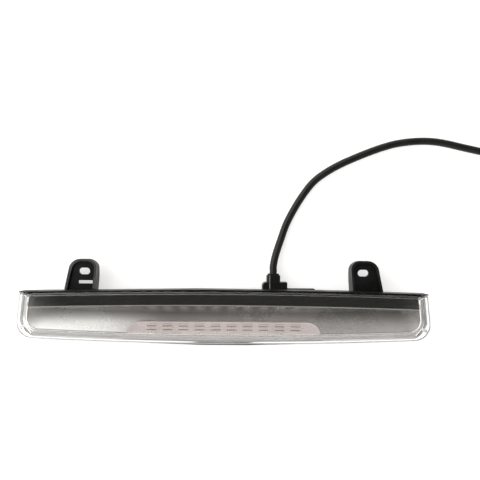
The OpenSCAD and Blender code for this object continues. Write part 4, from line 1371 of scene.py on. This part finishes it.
@dataclass
class Electronics:
    """Board, light sources, components, leads and screws."""

    pitch: float = 15.2
    count: int = 10
    led_y: float = -33.805

    def screw(self, name: str, where: Colour, up: int, length: float, head: float, head_h: float,
              shank: float) -> bpy.types.Object:
        """Self-tapping screw: head with a cross recess, shank with a rolled thread.

        Point (i, k) has a radius that follows the profile; on the shank it swells with the phase of the thread, and on
        the head's top the height falls in a cross where the lesser of |x| and |y| is small.

        Args:
            name: Name of the piece.
            where: Point on the axis where the head's underside sits.
            up: 1 where the head is on top, and -1 where it hangs below.
            length: Length of the shank.
            head: Radius of the head.
            head_h: Height of the head.
            shank: Core radius of the shank.

        Returns:
            The screw.
        """
        steps = 48
        turn = 2 * np.pi * np.arange(steps) / steps
        down = np.linspace(0, length, int(length / 0.16))
        radius = shank * np.clip((length - down) / 1.2, 0.25, 1.0)
        thread = 0.16 * np.maximum(np.cos(2 * np.pi * down[:, None] / 0.9 + turn[None]), 0) - 0.2
        thread = thread * np.clip((down[:, None] - 0.6) / 0.6, 0, 1)
        body_r = np.maximum(radius[:, None] + thread, 0.2)
        body_z = np.broadcast_to(-down[:, None], body_r.shape)
        dome_t = np.linspace(0, 1, 14)[::-1][:, None]
        top_r = np.broadcast_to(head * np.maximum(dome_t, 0.02), (14, steps))
        top_z = head_h * (0.45 + 0.55 * np.sqrt(np.maximum(1 - (dome_t * 0.98) ** 2, 0)))
        x, y = top_r * np.cos(turn), top_r * np.sin(turn)
        slim, far = np.minimum(np.abs(x), np.abs(y)), np.hypot(x, y)
        recess = (1 / (1 + np.exp((slim - 0.33) * 16))) * (1 / (1 + np.exp((far - head * 0.62) * 9)))
        top_z = np.broadcast_to(top_z, top_r.shape) - recess * head_h * 0.6
        side_r, side_z = (np.broadcast_to(np.array(v)[:, None], (3, steps))
                          for v in ([shank, head, head], [0.0, 0.0, 0.4 * head_h]))
        r = np.vstack([body_r[::-1], side_r, top_r])
        z = np.vstack([body_z[::-1], side_z, top_z]) * up
        rings = np.stack([r * np.cos(turn), r * np.sin(turn), z], -1) + np.array(where)
        return loft(name, rings, 35)

    def screws(self) -> None:
        """Makes the reflector's, the board's and the clamp's screws, each as its own piece named after its group."""
        shape = Shape()
        groups: dict[str, list[bpy.types.Object]] = {"reflector_screws": [], "board_screws": [], "clamp_screw": []}
        for x in (392.8 * 0.23, 392.8 * 0.42):
            for side in (-1, 1):
                y = float(shape.top_line(np.array(x), shape.arch)) - 10.3 + ROW_Y
                groups["reflector_screws"].append(
                    self.screw("reflector_screw", (side * x, y, 8.0), -1, 13.9, 2.4, 1.5, 1.1))
        for n in (0, 4, -4):
            groups["board_screws"].append(
                self.screw("board_screw", (n * self.pitch, self.led_y + ROW_Y, 18.4), 1, 9.4, 2.4, 1.5, 1.1))
        low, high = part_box("clamp_screw")
        centre = (low + high) / 2 / MM
        groups["clamp_screw"].append(
            self.screw("clamp_fixing", (centre.x, centre.y, high.z / MM - 1.5), 1, 3.8, 2.0, 1.5, 1.1))
        for node, made in groups.items():
            for i, piece in enumerate(made):
                piece.name = piece.data.name = f"{node}_{i + 1}"
                dress(piece, Finishes.zinc)
            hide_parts(node)

    def domes(self) -> bpy.types.Object:
        """Resin domes in one mesh: each point is the dome's radius times a half turn's sine and cosine."""
        t = np.linspace(0, np.pi / 2, 10)[:, None]
        turn = 2 * np.pi * np.arange(32)[None] / 32
        r = 2.4 * np.maximum(np.cos(t), 0.02)
        ring = np.stack(np.broadcast_arrays(r * np.cos(turn), r * np.sin(turn), 2.4 * np.sin(t)), -1)
        places = (np.arange(self.count) - (self.count - 1) / 2) * self.pitch
        all_points = ring[None] + np.stack(
            [places, np.full(self.count, self.led_y + ROW_Y), np.full(self.count, 21.8)], 1)[:, None, None]
        rows, around = ring.shape[:2]
        each = rows * around
        quads = grid_quads(rows, around, wrap=True)
        every = (quads[None] + np.arange(self.count)[:, None, None] * each).reshape(-1, 4)
        ends = [np.arange(around)[::-1], (rows - 1) * around + np.arange(around)]
        caps = [c + i * each for i in range(self.count) for c in ends]
        return build("resin_domes", all_points.reshape(-1, 3), every, caps, sharp=50)

    def build(self) -> None:
        """Dresses the board and what it carries."""
        domes = self.domes()
        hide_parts("led_domes")
        dress(domes, Finishes.dome)
        dress(softened("led_bodies", "led_packages", 0.35), Finishes.package)
        for node, finish in (
            ("circuit_board", Finishes.board), ("resistors", Finishes.component),
            ("protection_diode", Finishes.component), ("driver_chip", Finishes.component),
            ("smoothing_capacitor", Finishes.can), ("board_header", Finishes.nylon),
            ("cable_inner_end", Finishes.boot), ("cable_clamp", Finishes.clamp),
            ("red_lead", Finishes.red_lead), ("black_lead", Finishes.tie),
        ):
            dress(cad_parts[node], finish)
        self.screws()


# ---- Order of work -------------------------------------------------------------------------------------------------


def main() -> None:
    """Builds the studio, then the cord, then the lamp from its face to its small pieces."""
    logging.basicConfig(level=logging.INFO, format="%(message)s")
    start = tuple(v.copy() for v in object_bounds())
    studio = Studio()
    studio.camera()
    Cord().build()
    Lens().build()
    Reflector().build()
    Optic().build()
    Housing().build()
    Electronics().build()
    studio.build()


if __name__ == "__main__":
    main()
